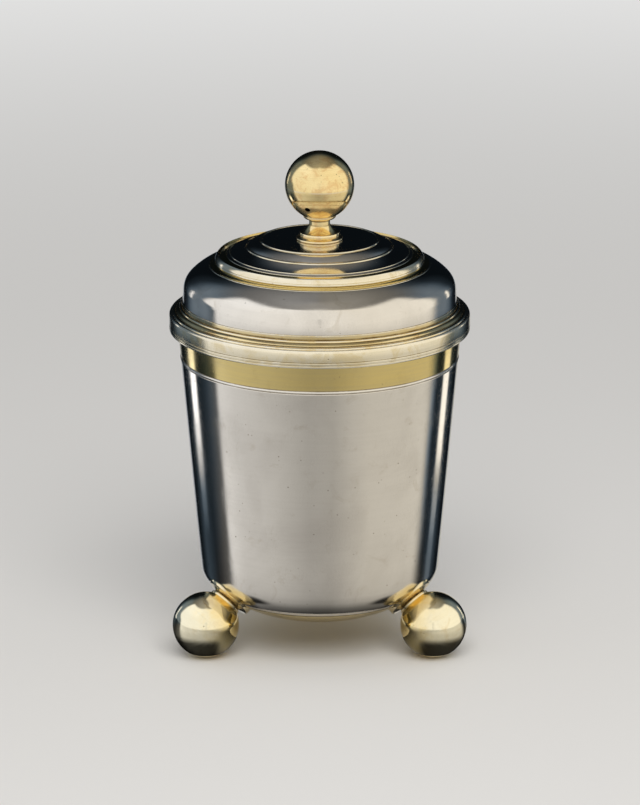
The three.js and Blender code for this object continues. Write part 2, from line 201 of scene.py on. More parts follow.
# Cuts a rounded line into an outline at its nearest point to a place. The metal lies
# to the left of the way travelled, and a depth below zero raises a wire instead.
def engraved(points, place, width, depth):
    best = None
    for i in range(len(points) - 1):
        start, end = Vector(points[i]), Vector(points[i + 1])
        way = end - start
        if way.length < 1e-6:
            continue
        share = min(1, max(0, (Vector(place) - start).dot(way) / way.length_squared))
        away = (Vector(place) - start - way * share).length
        if best is None or away < best[0]:
            best = (away, i, share)
    lengths = lengthsAlong(points)
    middle = lengths[best[1]] + best[2] * (lengths[best[1] + 1] - lengths[best[1]])

    def at(length):
        i = max(k for k in range(len(points) - 1) if lengths[k] <= length)
        start, end = Vector(points[i]), Vector(points[i + 1])
        way = (end - start).normalized()
        return start + way * (length - lengths[i]), Vector((-way.y, way.x))

    groove = []
    for share, sink in grooveShape:
        spot, inward = at(middle + share * width)
        groove.append(tuple(spot + inward * depth * sink))
    before = [p for p, s in zip(points, lengths) if s < middle - grooveClear * width]
    behind = [p for p, s in zip(points, lengths) if s > middle + grooveClear * width]
    return before + groove + behind


# How far each point stands out, 1 on a ridge, or lies in, -1 in a hollow. It is measured
# from the line between two points a reach away, and is full at a share of the reach.
def reliefOf(points, closed, reach=0.55, fullAt=0.35):
    loop = points + points[:1] if closed else points
    lengths = lengthsAlong(loop)
    total = lengths[-1]

    def at(length):
        length = length % total if closed else min(max(length, 0), total)
        low, high = 0, len(loop) - 1
        while high - low > 1:
            half = (low + high) // 2
            low, high = (half, high) if lengths[half] <= length else (low, half)
        step = lengths[low + 1] - lengths[low]
        share = (length - lengths[low]) / step if step > 1e-9 else 0
        return Vector(loop[low]).lerp(Vector(loop[low + 1]), share)

    values = []
    for k, point in enumerate(points):
        before, after = at(lengths[k] - reach), at(lengths[k] + reach)
        way = after - before
        outward = Vector((way.y, -way.x)).normalized() if way.length > 1e-9 else Vector((0, 0))
        out = (Vector(point) - (before + after) / 2).dot(outward)
        values.append(max(-1, min(1, out / (fullAt * reach))))
    return values


# Turning: a Geometry Nodes tree that turns a profile about the Z axis. The profile is a
# line of points in the XZ plane, each with its relief. Waviness is the small unevenness
# of raised metal, which dies out near the axis, and the thread winds round a screw.

turning = {"waveDetail": 1.0, "waveRoughness": 0.4, "wavesFullAt": 4.0, "threadBeyond": 0.3,
           "mergeWithin": 0.0005, "crease": 38}


def makeTurningTree():
    tree = bpy.data.node_groups.new("turned on a lathe", "GeometryNodeTree")
    sockets = {}
    for label, kind in (("Profile", "Geometry"), ("Sides", "Int"), ("Waviness", "Float"),
                        ("Wave Size", "Float"), ("Wave Seed", "Float"), ("Thread Pitch", "Float"),
                        ("Thread Depth", "Float"), ("Finish", "Material")):
        sockets[label] = tree.interface.new_socket(
            label, in_out="INPUT", socket_type="NodeSocket" + kind).identifier
    tree.interface.new_socket("Piece", in_out="OUTPUT", socket_type="NodeSocketGeometry")
    given = tree.nodes.new("NodeGroupInput").outputs
    profile, sides = given["Profile"], given["Sides"]

    # A grid with a column for each side, and a row for each point of the profile
    count = made(tree, "GeometryNodeAttributeDomainSize", {0: profile}, component="MESH")
    grid = made(tree, "GeometryNodeMeshGrid", {"Vertices X": plus(tree, sides, 1), "Vertices Y": count})
    index = made(tree, "GeometryNodeInputIndex")
    turn = calc(tree, "FLOOR", calc(tree, "DIVIDE", plus(tree, index, 0.5), count))
    step = calc(tree, "ROUND", minus(tree, index, times(tree, turn, count)))
    position = made(tree, "GeometryNodeInputPosition")
    spot = made(tree, "GeometryNodeSampleIndex", {"Geometry": profile, "Value": position, "Index": step},
                data_type="FLOAT_VECTOR")
    reliefField = made(tree, "GeometryNodeInputNamedAttribute", {"Name": "relief"}, data_type="FLOAT")
    relief = made(tree, "GeometryNodeSampleIndex", {
        "Geometry": profile, "Value": reliefField, "Index": step}, data_type="FLOAT")

    # Each column is a copy of the profile, turned about the axis
    radius, _, height = apart(tree, spot)
    wholeTurns = calc(tree, "DIVIDE", turn, sides)
    angle = times(tree, calc(tree, "MODULO", wholeTurns, 1.0), math.tau)
    across, over = calc(tree, "COSINE", angle), calc(tree, "SINE", angle)
    plain = joined(tree, times(tree, radius, across), times(tree, radius, over), height)
    waves = made(tree, "ShaderNodeTexNoise", {
        "Vector": plain, "W": given["Wave Seed"], "Scale": calc(tree, "DIVIDE", 1.0, given["Wave Size"]),
        "Detail": turning["waveDetail"], "Roughness": turning["waveRoughness"]}, noise_dimensions="4D")
    wave = times(tree, times(tree, minus(tree, waves, 0.5), 2.0), given["Waviness"])
    offAxis = made(tree, "ShaderNodeMapRange", {
        "Value": radius, "From Min": 0.0, "From Max": turning["wavesFullAt"] * mm})
    ramp = calc(tree, "PINGPONG", minus(tree, calc(
        tree, "DIVIDE", height, given["Thread Pitch"]), wholeTurns), 0.5)
    thread = times(tree, times(tree, ramp, 2.0), given["Thread Depth"])
    onThread = calc(tree, "GREATER_THAN", radius, turning["threadBeyond"] * mm)
    newRadius = minus(tree, plus(tree, radius, times(tree, wave, offAxis)), times(tree, thread, onThread))
    place = joined(tree, times(tree, newRadius, across), times(tree, newRadius, over), height)

    moved = made(tree, "GeometryNodeSetPosition", {"Geometry": grid, "Position": place})
    marked = made(tree, "GeometryNodeStoreNamedAttribute", {
        "Geometry": moved, "Name": "relief", "Value": relief}, data_type="FLOAT", domain="POINT")
    closed = made(tree, "GeometryNodeMergeByDistance", {
        "Geometry": marked, "Distance": turning["mergeWithin"] * mm})
    smooth = made(tree, "GeometryNodeSetShadeSmooth", {"Geometry": closed})
    real = made(tree, "GeometryNodeRealizeInstances", {"Geometry": smooth})
    finished = made(tree, "GeometryNodeSetMaterial", {"Geometry": real, "Material": given["Finish"]})
    tree.links.new(finished, tree.nodes.new("NodeGroupOutput").inputs["Piece"])
    return tree, sockets


turningTree, turningSockets = makeTurningTree()
print("turning tree made")


def placed(name, data):
    piece = bpy.data.objects.new(name, data)
    scene.collection.objects.link(piece)
    return piece


# Puts what a modifier makes of a piece in its mesh.
def applied(piece, modifier):
    bpy.context.view_layer.update()
    mesh = bpy.data.meshes.new_from_object(piece.evaluated_get(bpy.context.evaluated_depsgraph_get()))
    piece.modifiers.remove(modifier)
    piece.data = mesh
    return mesh


# Edges sharper than an angle stay crisp.
def creased(mesh, angle):
    mesh.shade_smooth()
    mesh.set_sharp_from_angle(angle=math.radians(angle))


def facedOut(mesh, angle):
    work = bmesh.new()
    work.from_mesh(mesh)
    bmesh.ops.recalc_face_normals(work, faces=work.faces)
    work.to_mesh(mesh)
    work.free()
    creased(mesh, angle)


def dress(mesh, finish):
    mesh.materials.clear()
    mesh.materials.append(finish)
    mesh.polygons.foreach_set("material_index", [0] * len(mesh.polygons))


def unevenness(part):
    return {"Waviness": part["waviness"] * mm, "Wave Size": part["waveSize"] * mm,
            "Wave Seed": part["waveSeed"]}


def turned(name, profile, finish, sides, closed=True, **values):
    line = profile + profile[:1] if closed else profile
    relief = reliefOf(profile, closed)
    relief += relief[:1] if closed else []
    mesh = bpy.data.meshes.new(name)
    mesh.from_pydata([(r * mm, 0, z * mm) for r, z in line],
                     [(i, i + 1) for i in range(len(line) - 1)], [])
    mesh.attributes.new("relief", "FLOAT", "POINT").data.foreach_set("value", relief)
    piece = placed(name, mesh)
    lathe = piece.modifiers.new("lathe", "NODES")
    lathe.node_group = turningTree
    settings = {"Sides": sides, "Waviness": 0.0, "Wave Size": 20 * mm, "Wave Seed": 0.0,
                "Thread Pitch": 1.0, "Thread Depth": 0.0, "Finish": finish}
    for label, value in {**settings, **values}.items():
        lathe[turningSockets[label]] = value
    result = applied(piece, lathe)
    result.name = name
    dress(result, finish)
    facedOut(result, turning["crease"])
    return piece


# A piece whose profile has its corners rounded and its long stretches divided. The points
# after the profile, as of a bore, stay sharp.
def turnedRound(name, corners, part, finish, closed=True, after=(), **values):
    profile = filled(eased(corners, part["ease"], closed) + list(after), part["step"], closed)
    return turned(name, profile, finish, part["sides"], closed, **values)


# Takes a drill's shape out of a piece.
def drilled(piece, place, radius, length, matrix):
    work = bmesh.new()
    bmesh.ops.create_cone(work, cap_ends=True, segments=40, radius1=radius * mm, radius2=radius * mm,
                          depth=length * mm, matrix=matrix @ Matrix.Translation(Vector(place) * mm))
    drill = placed("drill", bpy.data.meshes.new("drill"))
    work.to_mesh(drill.data)
    work.free()
    finish = piece.data.materials[0]
    cut = piece.modifiers.new("hole", "BOOLEAN")
    cut.object, cut.operation, cut.solver = drill, "DIFFERENCE", "EXACT"
    result = applied(piece, cut)
    bpy.data.objects.remove(drill)
    dress(result, finish)
    creased(result, turning["crease"])


# Gives faces another finish where a rule holds. The rule gets a face's radius and height
# in mm, and how far it faces outward and upward.
def refinish(piece, finish, rule):
    mesh = piece.data
    mesh.materials.append(finish)
    slot = len(mesh.materials) - 1
    for face in mesh.polygons:
        middle = face.center / mm
        radius = math.hypot(middle.x, middle.y)
        outward = (middle.x * face.normal.x + middle.y * face.normal.y) / max(radius, 1e-6)
        if rule(radius, middle.z, outward, face.normal.z):
            face.material_index = slot


def seated(piece, body, slot, *nodes):
    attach(piece, body)
    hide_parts(*nodes)


# Metal finishes. Each is worn metal with its tones, hairline scratches, faint turning marks, small pits, a
# painted highlight on its ridges and, in the hollows that the relief marks, old tarnish.

def noise(tree, vector, scale, detail=3.0, roughness=0.55, distortion=0.0):
    return made(tree, "ShaderNodeTexNoise", {
        "Vector": vector, "Scale": scale, "Detail": detail, "Roughness": roughness,
        "Distortion": distortion})


def ranged(tree, value, low, high, toLow=0.0, toHigh=1.0):
    return made(tree, "ShaderNodeMapRange", {
        "Value": value, "From Min": low, "From Max": high, "To Min": toLow, "To Max": toHigh},
        interpolation_type="SMOOTHSTEP")


def blended(tree, share, first, second):
    return made(tree, "ShaderNodeMix", {0: share, 6: first, 7: second}, 2, data_type="RGBA")


# What all the metals share. A noise is its scale per metre, detail, roughness and
# distortion, a range is where in its noise a mark starts and is full, and a depth is in
# micrometres. Lean is how much the radius counts beside the height where turning marks run
# round: on the body both fall together at the corner, and on the cover they run against
# each other at the shoulder.
anyMetal = {
    "lean": -1.0, "acrossScale": 26.0, "turningNoise": (1.0, 4.0, 0.6), "turningRange": (0.3, 0.72),
    "hollowRange": (0.15, 0.9), "hollowBreaks": (0.25, 0.6), "hollowLeast": 0.45,
    "ridgeRange": (0.2, 0.9), "ridgeBreaks": (0.3, 0.6),
    "cloudNoise": (38.0, 4.0, 0.55, 0.6), "cloudRange": (0.35, 0.68), "roughRange": (0.3, 0.75),
    "blotchScale": 120.0, "blotchNoise": (5.0, 0.62, 0.9), "patchSoft": 0.2, "patchRoughness": 0.12,
    "speckNoise": (900.0, 3.0, 0.6), "speckRange": (0.4, 0.75), "speckRoughness": 0.03,
    "scratches": (((0.35, 0.1, 0.2), 2600.0, 0.012), ((1.2, 0.4, 0.9), 2100.0, 0.012),
                  ((1.5, 0.2, 2.1), 2900.0, 0.01), ((0.8, 1.3, 0.4), 1800.0, 0.01)),
    "scratchNoise": (1.0, 2.0, 0.5), "scratchStretch": 0.025, "scratchShare": 0.12,
    "scratchRoughness": 0.05, "wornNoise": (70.0, 2.0), "wornRange": (0.4, 0.62),
    "pitRange": (0.05, 0.16), "pitShare": 0.75, "clusterNoise": (210.0, 1.0),
    "clusterRange": (0.52, 0.68), "tarnishRoughness": 0.22, "reliefUnit": 0.001}
metals = {
    "silver": {"tone": (0.80, 0.755, 0.685), "otherTone": (0.72, 0.675, 0.61),
               "patchTone": (0.50, 0.43, 0.33), "patchFrom": 0.56, "patchShare": 0.34,
               "ridgeTone": (0.86, 0.82, 0.75), "ridgeShare": 0.5,
               "hollowTone": (0.22, 0.18, 0.12), "hollowShare": 0.75,
               "turningTone": (0.62, 0.585, 0.53), "turningShare": 0.11, "turningScale": 900.0,
               "roughness": 0.06, "roughSpread": 0.05, "scratchDepth": 1.6, "turningDepth": 0.7,
               "pitScale": 420.0, "pitDepth": 26.0, "blotchDepth": 6.0},
    "gilt": {"tone": (0.86, 0.66, 0.33), "otherTone": (0.80, 0.58, 0.25),
             "patchTone": (0.62, 0.34, 0.10), "patchFrom": 0.52, "patchShare": 0.5,
             "ridgeTone": (0.88, 0.80, 0.62), "ridgeShare": 0.55,
             "hollowTone": (0.16, 0.10, 0.03), "hollowShare": 0.85,
             "turningTone": (0.60, 0.44, 0.20), "turningShare": 0.22, "turningScale": 1100.0,
             "roughness": 0.07, "roughSpread": 0.06, "scratchDepth": 1.6, "turningDepth": 2.2,
             "pitScale": 500.0, "pitDepth": 36.0, "blotchDepth": 9.0},
    "lemonGilt": {"tone": (0.78, 0.61, 0.24), "otherTone": (0.74, 0.59, 0.26),
                  "patchTone": (0.56, 0.42, 0.16), "patchFrom": 0.54, "patchShare": 0.22,
                  "ridgeTone": (0.82, 0.76, 0.62), "ridgeShare": 0.5,
                  "hollowTone": (0.18, 0.13, 0.06), "hollowShare": 0.8,
                  "turningTone": (0.55, 0.47, 0.28), "turningShare": 0.25, "turningScale": 1000.0,
                  "roughness": 0.08, "roughSpread": 0.05, "scratchDepth": 1.6, "turningDepth": 2.4,
                  "pitScale": 450.0, "pitDepth": 30.0, "blotchDepth": 8.0},
    "paleGilt": {"tone": (0.90, 0.82, 0.64), "otherTone": (0.86, 0.77, 0.56),
                 "patchTone": (0.74, 0.59, 0.30), "patchFrom": 0.46, "patchShare": 0.6,
                 "ridgeTone": (0.94, 0.90, 0.80), "ridgeShare": 0.6,
                 "hollowTone": (0.20, 0.15, 0.08), "hollowShare": 0.8,
                 "turningTone": (0.60, 0.54, 0.42), "turningShare": 0.2, "turningScale": 900.0,
                 "roughness": 0.08, "roughSpread": 0.06, "scratchDepth": 1.8, "turningDepth": 2.4,
                 "pitScale": 450.0, "pitDepth": 30.0, "blotchDepth": 7.0},
    "dullMetal": {"tone": (0.58, 0.44, 0.22), "otherTone": (0.46, 0.33, 0.16),
                  "patchTone": (0.24, 0.16, 0.08), "patchFrom": 0.45, "patchShare": 0.7,
                  "ridgeTone": (0.70, 0.56, 0.32), "ridgeShare": 0.6,
                  "hollowTone": (0.10, 0.07, 0.04), "hollowShare": 0.9,
                  "turningTone": (0.38, 0.27, 0.13), "turningShare": 0.3, "turningScale": 1400.0,
                  "roughness": 0.34, "roughSpread": 0.16, "scratchDepth": 3.0, "turningDepth": 5.0,
                  "pitScale": 900.0, "pitDepth": 20.0, "blotchDepth": 10.0},
}


def metalFinish(name, metal, **changes):
    look = {**anyMetal, **metals[metal], **changes}
    material = emptyMaterial(name)
    material.diffuse_color = (*look["tone"], 1)
    tree = material.node_tree
    place = made(tree, "ShaderNodeTexCoord", output=3)
    x, y, z = apart(tree, place)
    radius = lengthOf(tree, joined(tree, x, y))
    along = plus(tree, z, times(tree, radius, look["lean"]))
    onLathe = joined(tree, times(tree, x, look["acrossScale"]), times(tree, y, look["acrossScale"]),
                     times(tree, along, look["turningScale"]))
    rings = noise(tree, onLathe, *look["turningNoise"])
    relief = made(tree, "ShaderNodeAttribute", output=2, attribute_name="relief")
    hollow = ranged(tree, times(tree, relief, -1.0), *look["hollowRange"])
    ridge = ranged(tree, relief, *look["ridgeRange"])
    clouds = noise(tree, place, *look["cloudNoise"])
    blotches = noise(tree, place, look["blotchScale"], *look["blotchNoise"])
    specks = noise(tree, place, *look["speckNoise"])

    # Scratches run every way, each set a stretched noise cut to a thin band
    scratches = 0.0
    for turn, scale, band in look["scratches"]:
        mapped = made(tree, "ShaderNodeMapping", {
            "Vector": place, "Rotation": turn, "Scale": (scale, scale, scale * look["scratchStretch"])})
        lines = noise(tree, mapped, *look["scratchNoise"])
        near = calc(tree, "ABSOLUTE", minus(tree, lines, 0.5))
        scratches = calc(tree, "MAXIMUM", scratches, ranged(tree, near, 0.0, band, 1.0, 0.0))
    worn = ranged(tree, noise(tree, place, *look["wornNoise"]), *look["wornRange"])
    scratches = times(tree, scratches, worn)

    # Pits lie in clusters, and tarnish lies in hollows
    cells = made(tree, "ShaderNodeTexVoronoi", {"Vector": place, "Scale": look["pitScale"]})
    clusters = ranged(tree, noise(tree, place, *look["clusterNoise"]), *look["clusterRange"])
    pits = times(tree, ranged(tree, cells, *look["pitRange"], 1.0, 0.0), clusters)

    patches = times(tree, ranged(tree, blotches, look["patchFrom"], look["patchFrom"] + look["patchSoft"]),
                    look["patchShare"])
    # Ridges in the relief are paler: a painted highlight along raised edges, broken up by the blotches
    ridges = times(tree, ridge, times(tree, look["ridgeShare"], ranged(
        tree, blotches, *look["ridgeBreaks"])))
    tarnish = times(tree, hollow, ranged(tree, blotches, *look["hollowBreaks"],
                                         look["hollowShare"] * look["hollowLeast"], look["hollowShare"]))
    marks = calc(tree, "MAXIMUM", times(tree, pits, look["pitShare"]),
                 times(tree, scratches, look["scratchShare"]))
    ringShare = times(tree, ranged(tree, rings, *look["turningRange"]), look["turningShare"])

    tone = blended(tree, ranged(tree, clouds, *look["cloudRange"]), (*look["tone"], 1),
                   (*look["otherTone"], 1))
    if "rubbed" in look:
        near, far, rubbedTone = look["rubbed"]
        spread = times(tree, minus(tree, blotches, 0.5), look["rubbedSpread"] * mm)
        rubbed = ranged(tree, plus(tree, radius, spread), near * mm, far * mm)
        tone = blended(tree, rubbed, tone, (*rubbedTone, 1))
    for share, key in ((patches, "patchTone"), (ridges, "ridgeTone"), (tarnish, "hollowTone"),
                       (marks, "hollowTone"), (ringShare, "turningTone")):
        tone = blended(tree, share, tone, (*look[key], 1))

    rough = ranged(tree, clouds, *look["roughRange"], look["roughness"],
                   look["roughness"] + look["roughSpread"])
    for share, key in ((scratches, "scratchRoughness"), (tarnish, "tarnishRoughness"),
                       (patches, "patchRoughness")):
        rough = plus(tree, rough, times(tree, share, look[key]))
    rough = plus(tree, rough, ranged(tree, specks, *look["speckRange"], 0.0, look["speckRoughness"]))

    height = times(tree, scratches, -look["scratchDepth"])
    for share, depth in ((rings, look["turningDepth"]), (pits, -look["pitDepth"]),
                         (blotches, look["blotchDepth"])):
        height = plus(tree, height, times(tree, share, depth))
    bump = made(tree, "ShaderNodeBump", {
        "Height": height, "Strength": 1.0, "Distance": look["reliefUnit"] * mm})
    shadedBy(tree, made(tree, "ShaderNodeBsdfPrincipled", {
        "Metallic": 1.0, "Base Color": tone, "Roughness": rough, "Normal": bump}))
    return material


bodySilver = metalFinish("body_silver", "silver", lean=1.0)
coverSilver = metalFinish("cover_silver", "silver")
bodyGilt = metalFinish("body_gilt", "lemonGilt", lean=1.0)
coverGilt = metalFinish("cover_gilt", "lemonGilt")
gilt = metalFinish("gilt", "gilt")
paleGilt = metalFinish("pale_gilt", "paleGilt")
finialGilt = metalFinish(
    "finial_gilt", "gilt", tone=(0.94, 0.77, 0.42), otherTone=(0.91, 0.72, 0.35),
    patchTone=(0.74, 0.46, 0.20), patchFrom=0.46, patchShare=0.6, blotchScale=300.0, roughness=0.09)
# The feet are rubbed paler between two distances from the beaker's axis.
footGilt = metalFinish(
    "foot_gilt", "gilt", tone=(0.93, 0.75, 0.37), otherTone=(0.89, 0.69, 0.30),
    patchTone=(0.66, 0.42, 0.12), patchShare=0.3, rubbed=(44.0, 56.0, (0.95, 0.88, 0.66)),
    rubbedSpread=14.0, turningShare=0.04, turningDepth=0.3, scratchDepth=1.0)
mountGilt = metalFinish(
    "mount_gilt", "gilt", tone=(0.92, 0.80, 0.54), otherTone=(0.86, 0.72, 0.44),
    patchTone=(0.50, 0.38, 0.24), patchShare=0.5, blotchScale=260.0, turningShare=0.1)
# The foot moulding's ridges are near white, a painted highlight on its beads, and its hollows near black,
# old tarnish deepened with painted shade in the grooves
mouldingGiltPaintedLight = metalFinish(
    "moulding_gilt_painted_light", "gilt", tone=(0.88, 0.73, 0.42), otherTone=(0.80, 0.62, 0.30),
    ridgeTone=(0.95, 0.90, 0.76), ridgeShare=0.85, hollowTone=(0.10, 0.06, 0.02), hollowShare=0.95)
fastening = metalFinish("fastening", "dullMetal")
# Near black: a painted shade for the inside of the hollow finial ball
ballInsidePaintedShade = metalFinish(
    "ball_inside_painted_shade", "dullMetal", tone=(0.05, 0.04, 0.03), otherTone=(0.03, 0.025, 0.02),
    patchTone=(0.04, 0.03, 0.02), roughness=0.6)
print("finishes made")


# Beaker body

beaker = {"lipRadius": 50.92, "lipHeight": 108.3, "taper": 4.92, "wall": 1.2, "cornerRadius": 10.16,
          "cornerEnd": 52.2, "undersideRadius": 50.72, "undersideEnd": 71.0, "blendRadius": 14.0,
          "lineHeights": (93.0, 94.1), "lineWidth": 0.5, "lineDepth": 0.17, "wireWidth": 0.66,
          "wireHeight": 0.16, "giltCircle": 37.2, "circleLevel": 7.3, "circleWidth": 0.6,
          "circleDepth": 0.12, "centreMark": 0.5, "discBelow": 10.0, "floorBelow": 14.0,
          "edgeEase": 0.35, "waviness": 0.035, "waveSize": 17.0, "waveSeed": 3.1,
          "arcSteps": (8, 14, 16), "outsideStep": 1.6, "insideStep": 2.0, "sides": 264}


def sine(angle):
    return math.sin(math.radians(angle))


def cosine(angle):
    return math.cos(math.radians(angle))


cornerDrop = beaker["cornerRadius"] * (sine(beaker["cornerEnd"]) - sine(beaker["taper"]))
undersideDrop = beaker["undersideRadius"] * (sine(beaker["undersideEnd"]) - sine(beaker["cornerEnd"]))
cornerTop = cornerDrop + undersideDrop + beaker["blendRadius"] * (1 - sine(beaker["undersideEnd"]))
cornerCentre = (beaker["lipRadius"] - (beaker["lipHeight"] - cornerTop) * math.tan(math.radians(
    beaker["taper"])) - beaker["cornerRadius"] * cosine(beaker["taper"]),
    cornerTop + beaker["cornerRadius"] * sine(beaker["taper"]))
undersideReach = beaker["undersideRadius"] - beaker["cornerRadius"]
undersideCentre = (cornerCentre[0] - undersideReach * cosine(beaker["cornerEnd"]),
                   cornerCentre[1] + undersideReach * sine(beaker["cornerEnd"]))
blendReach = beaker["undersideRadius"] - beaker["blendRadius"]
blendCentre = (undersideCentre[0] + blendReach * cosine(beaker["undersideEnd"]), beaker["blendRadius"])


def sideRadius(height, offset=0.0):
    drop = (beaker["lipHeight"] - height) * math.tan(math.radians(beaker["taper"]))
    return beaker["lipRadius"] - drop + offset / cosine(beaker["taper"])


# From the axis out along the underside and up the side to the lip
def bodySkin(offset):
    blendSteps, undersideSteps, cornerSteps = beaker["arcSteps"]
    return [(0, -offset),
            *arc(blendCentre, beaker["blendRadius"] + offset, -90, -beaker["undersideEnd"], blendSteps),
            *arc(undersideCentre, beaker["undersideRadius"] + offset, -beaker["undersideEnd"],
                 -beaker["cornerEnd"], undersideSteps)[1:],
            *arc(cornerCentre, beaker["cornerRadius"] + offset, -beaker["cornerEnd"],
                 -beaker["taper"], cornerSteps)[1:],
            (sideRadius(beaker["lipHeight"], offset), beaker["lipHeight"])]


def beakerBody():
    outside = filled(bodySkin(0), beaker["outsideStep"], closed=False)
    outside = engraved(outside, (beaker["giltCircle"], beaker["circleLevel"]), beaker["circleWidth"],
                       beaker["circleDepth"])
    for level in beaker["lineHeights"]:
        outside = engraved(outside, (sideRadius(level), level), beaker["lineWidth"], beaker["lineDepth"])
    level = sum(beaker["lineHeights"]) / 2
    outside = engraved(outside, (sideRadius(level), level), beaker["wireWidth"], -beaker["wireHeight"])
    outside[0] = (0, beaker["centreMark"] * 0.5)
    outside.insert(1, (beaker["centreMark"], 0))
    inside = filled(bodySkin(-beaker["wall"])[::-1], beaker["insideStep"], closed=False)
    profile = eased(outside + inside, beaker["edgeEase"], closed=False)
    piece = turned("beaker_wall", profile, bodySilver, beaker["sides"], closed=False,
                   **unevenness(beaker))

    # The lip band above the lines, the inside, and the disc under the base
    def giltPart(radius, height, outward, upward):
        inner = upward > 0 if height < beaker["floorBelow"] else outward < 0
        disc = height < beaker["discBelow"] and radius < beaker["giltCircle"]
        return inner or disc or height > beaker["lineHeights"][1]

    refinish(piece, bodyGilt, giltPart)
    seated(piece, "beaker", "silver", "beaker_body")
    return piece


body = beakerBody()
print("body turned:", len(body.data.polygons), "faces")


# Ball feet: two halves of a hollow ball, and a mount between the ball and the body

feet = {"azimuths": {"left": 210, "right": 330, "rear": 90}, "ballRadius": 11.9, "ballWall": 1.0,
        "contactAngle": 50.2, "solderGap": 0.15, "tilt": 42.0, "wearDepth": 0.25, "seamGap": 0.008,
        "ventRadius": 0.6, "ventDrop": 20.0, "sides": 112}
mount = {"bore": 4.3, "beadRadius": 6.1, "beadHeight": 1.1, "beadBow": 0.5, "neckRadius": 5.25,
         "neckHeight": 0.25, "neckWeb": 0.3, "flangeRadius": 8.7, "rimWeb": 0.8, "flareHollow": 0.1,
         "edge": 0.2, "cornerGap": 0.3, "filletReach": 0.45, "lipSpread": 0.2, "lipRise": 0.35,
         "sunk": 0.01, "wallRings": 10, "ease": 0.12, "crease": 42, "sides": 128}
onCorner = feet["contactAngle"] < beaker["cornerEnd"]
contactCentre = cornerCentre if onCorner else undersideCentre
contactReach = feet["ballRadius"] + feet["solderGap"] + (
    beaker["cornerRadius"] if onCorner else beaker["undersideRadius"])
footReach = contactCentre[0] + contactReach * cosine(feet["contactAngle"])
footHeight = contactCentre[1] - contactReach * sine(feet["contactAngle"])
tableHeight = footHeight - feet["ballRadius"] + feet["wearDepth"]


def footCentre(side):
    return (Matrix.Rotation(math.radians(feet["azimuths"][side]), 4, "Z")
            @ Matrix.Translation(Vector((footReach, 0, footHeight)) * mm))


def footMatrix(side):
    return footCentre(side) @ Matrix.Rotation(math.radians(feet["tilt"] - 90), 4, "Y")


# Half a hollow ball, with a narrow first step outside that keeps the seam crisp
def halfBall(radius, wall, seam, upper=True, steps=44, innerSteps=16):
    start, inner = math.degrees(math.asin(seam / radius)), radius - wall
    outside = arc((0, 0), radius, start, 90, steps)
    outside.insert(1, arc((0, 0), radius, start, 90, steps * 6)[1])
    inside = arc((0, 0), inner, 90, math.degrees(math.asin(seam / inner)), innerSteps)
    outside[-1], inside[0] = (0, radius), (0, inner)
    points = outside + inside + outside[:1]
    return points if upper else [(r, -z) for r, z in points][::-1]


# The ball is worn flat where it stands on the table
def footBall(side, half):
    profile = halfBall(feet["ballRadius"], feet["ballWall"], feet["seamGap"], half == "inner")
    piece = turned(f"foot_{side}_{half}_half", profile, footGilt, feet["sides"], closed=False)
    mesh = piece.data
    mesh.transform(footMatrix(side))
    for vertex in mesh.vertices:
        vertex.co.z = max(vertex.co.z, tableHeight * mm)
    if half == "inner":
        vent = (footCentre(side) @ Matrix.Rotation(math.pi, 4, "Z")
                @ Matrix.Rotation(math.radians(feet["ventDrop"] + 90), 4, "Y"))
        drilled(piece, (0, 0, feet["ballRadius"]), feet["ventRadius"], feet["ballRadius"], vent)
    seated(piece, "beaker", "gilt", f"foot_{side}_ball_{half}")


bodyTree = BVHTree.FromObject(body, bpy.context.evaluated_depsgraph_get())


# Where the body's rounded corner lies along a foot's axis, at a radius from that axis
def cornerLevel(radius):
    lean = feet["contactAngle"] - feet["tilt"]
    offCentre = radius - contactReach * sine(lean)
    corner = beaker["cornerRadius"] + mount["cornerGap"]
    return contactReach * cosine(lean) - math.sqrt(corner ** 2 - offCentre ** 2)


# The mount's blank is turned, with marks as heights in its upper rings. What would reach
# past the body's skin is drawn back to it, and each ring that has a mark goes to its place
# under the skin. The last one spreads into a thin fillet of solder.
wallMark, lipMark, topMark, markReach = 100, 200, 300, 50


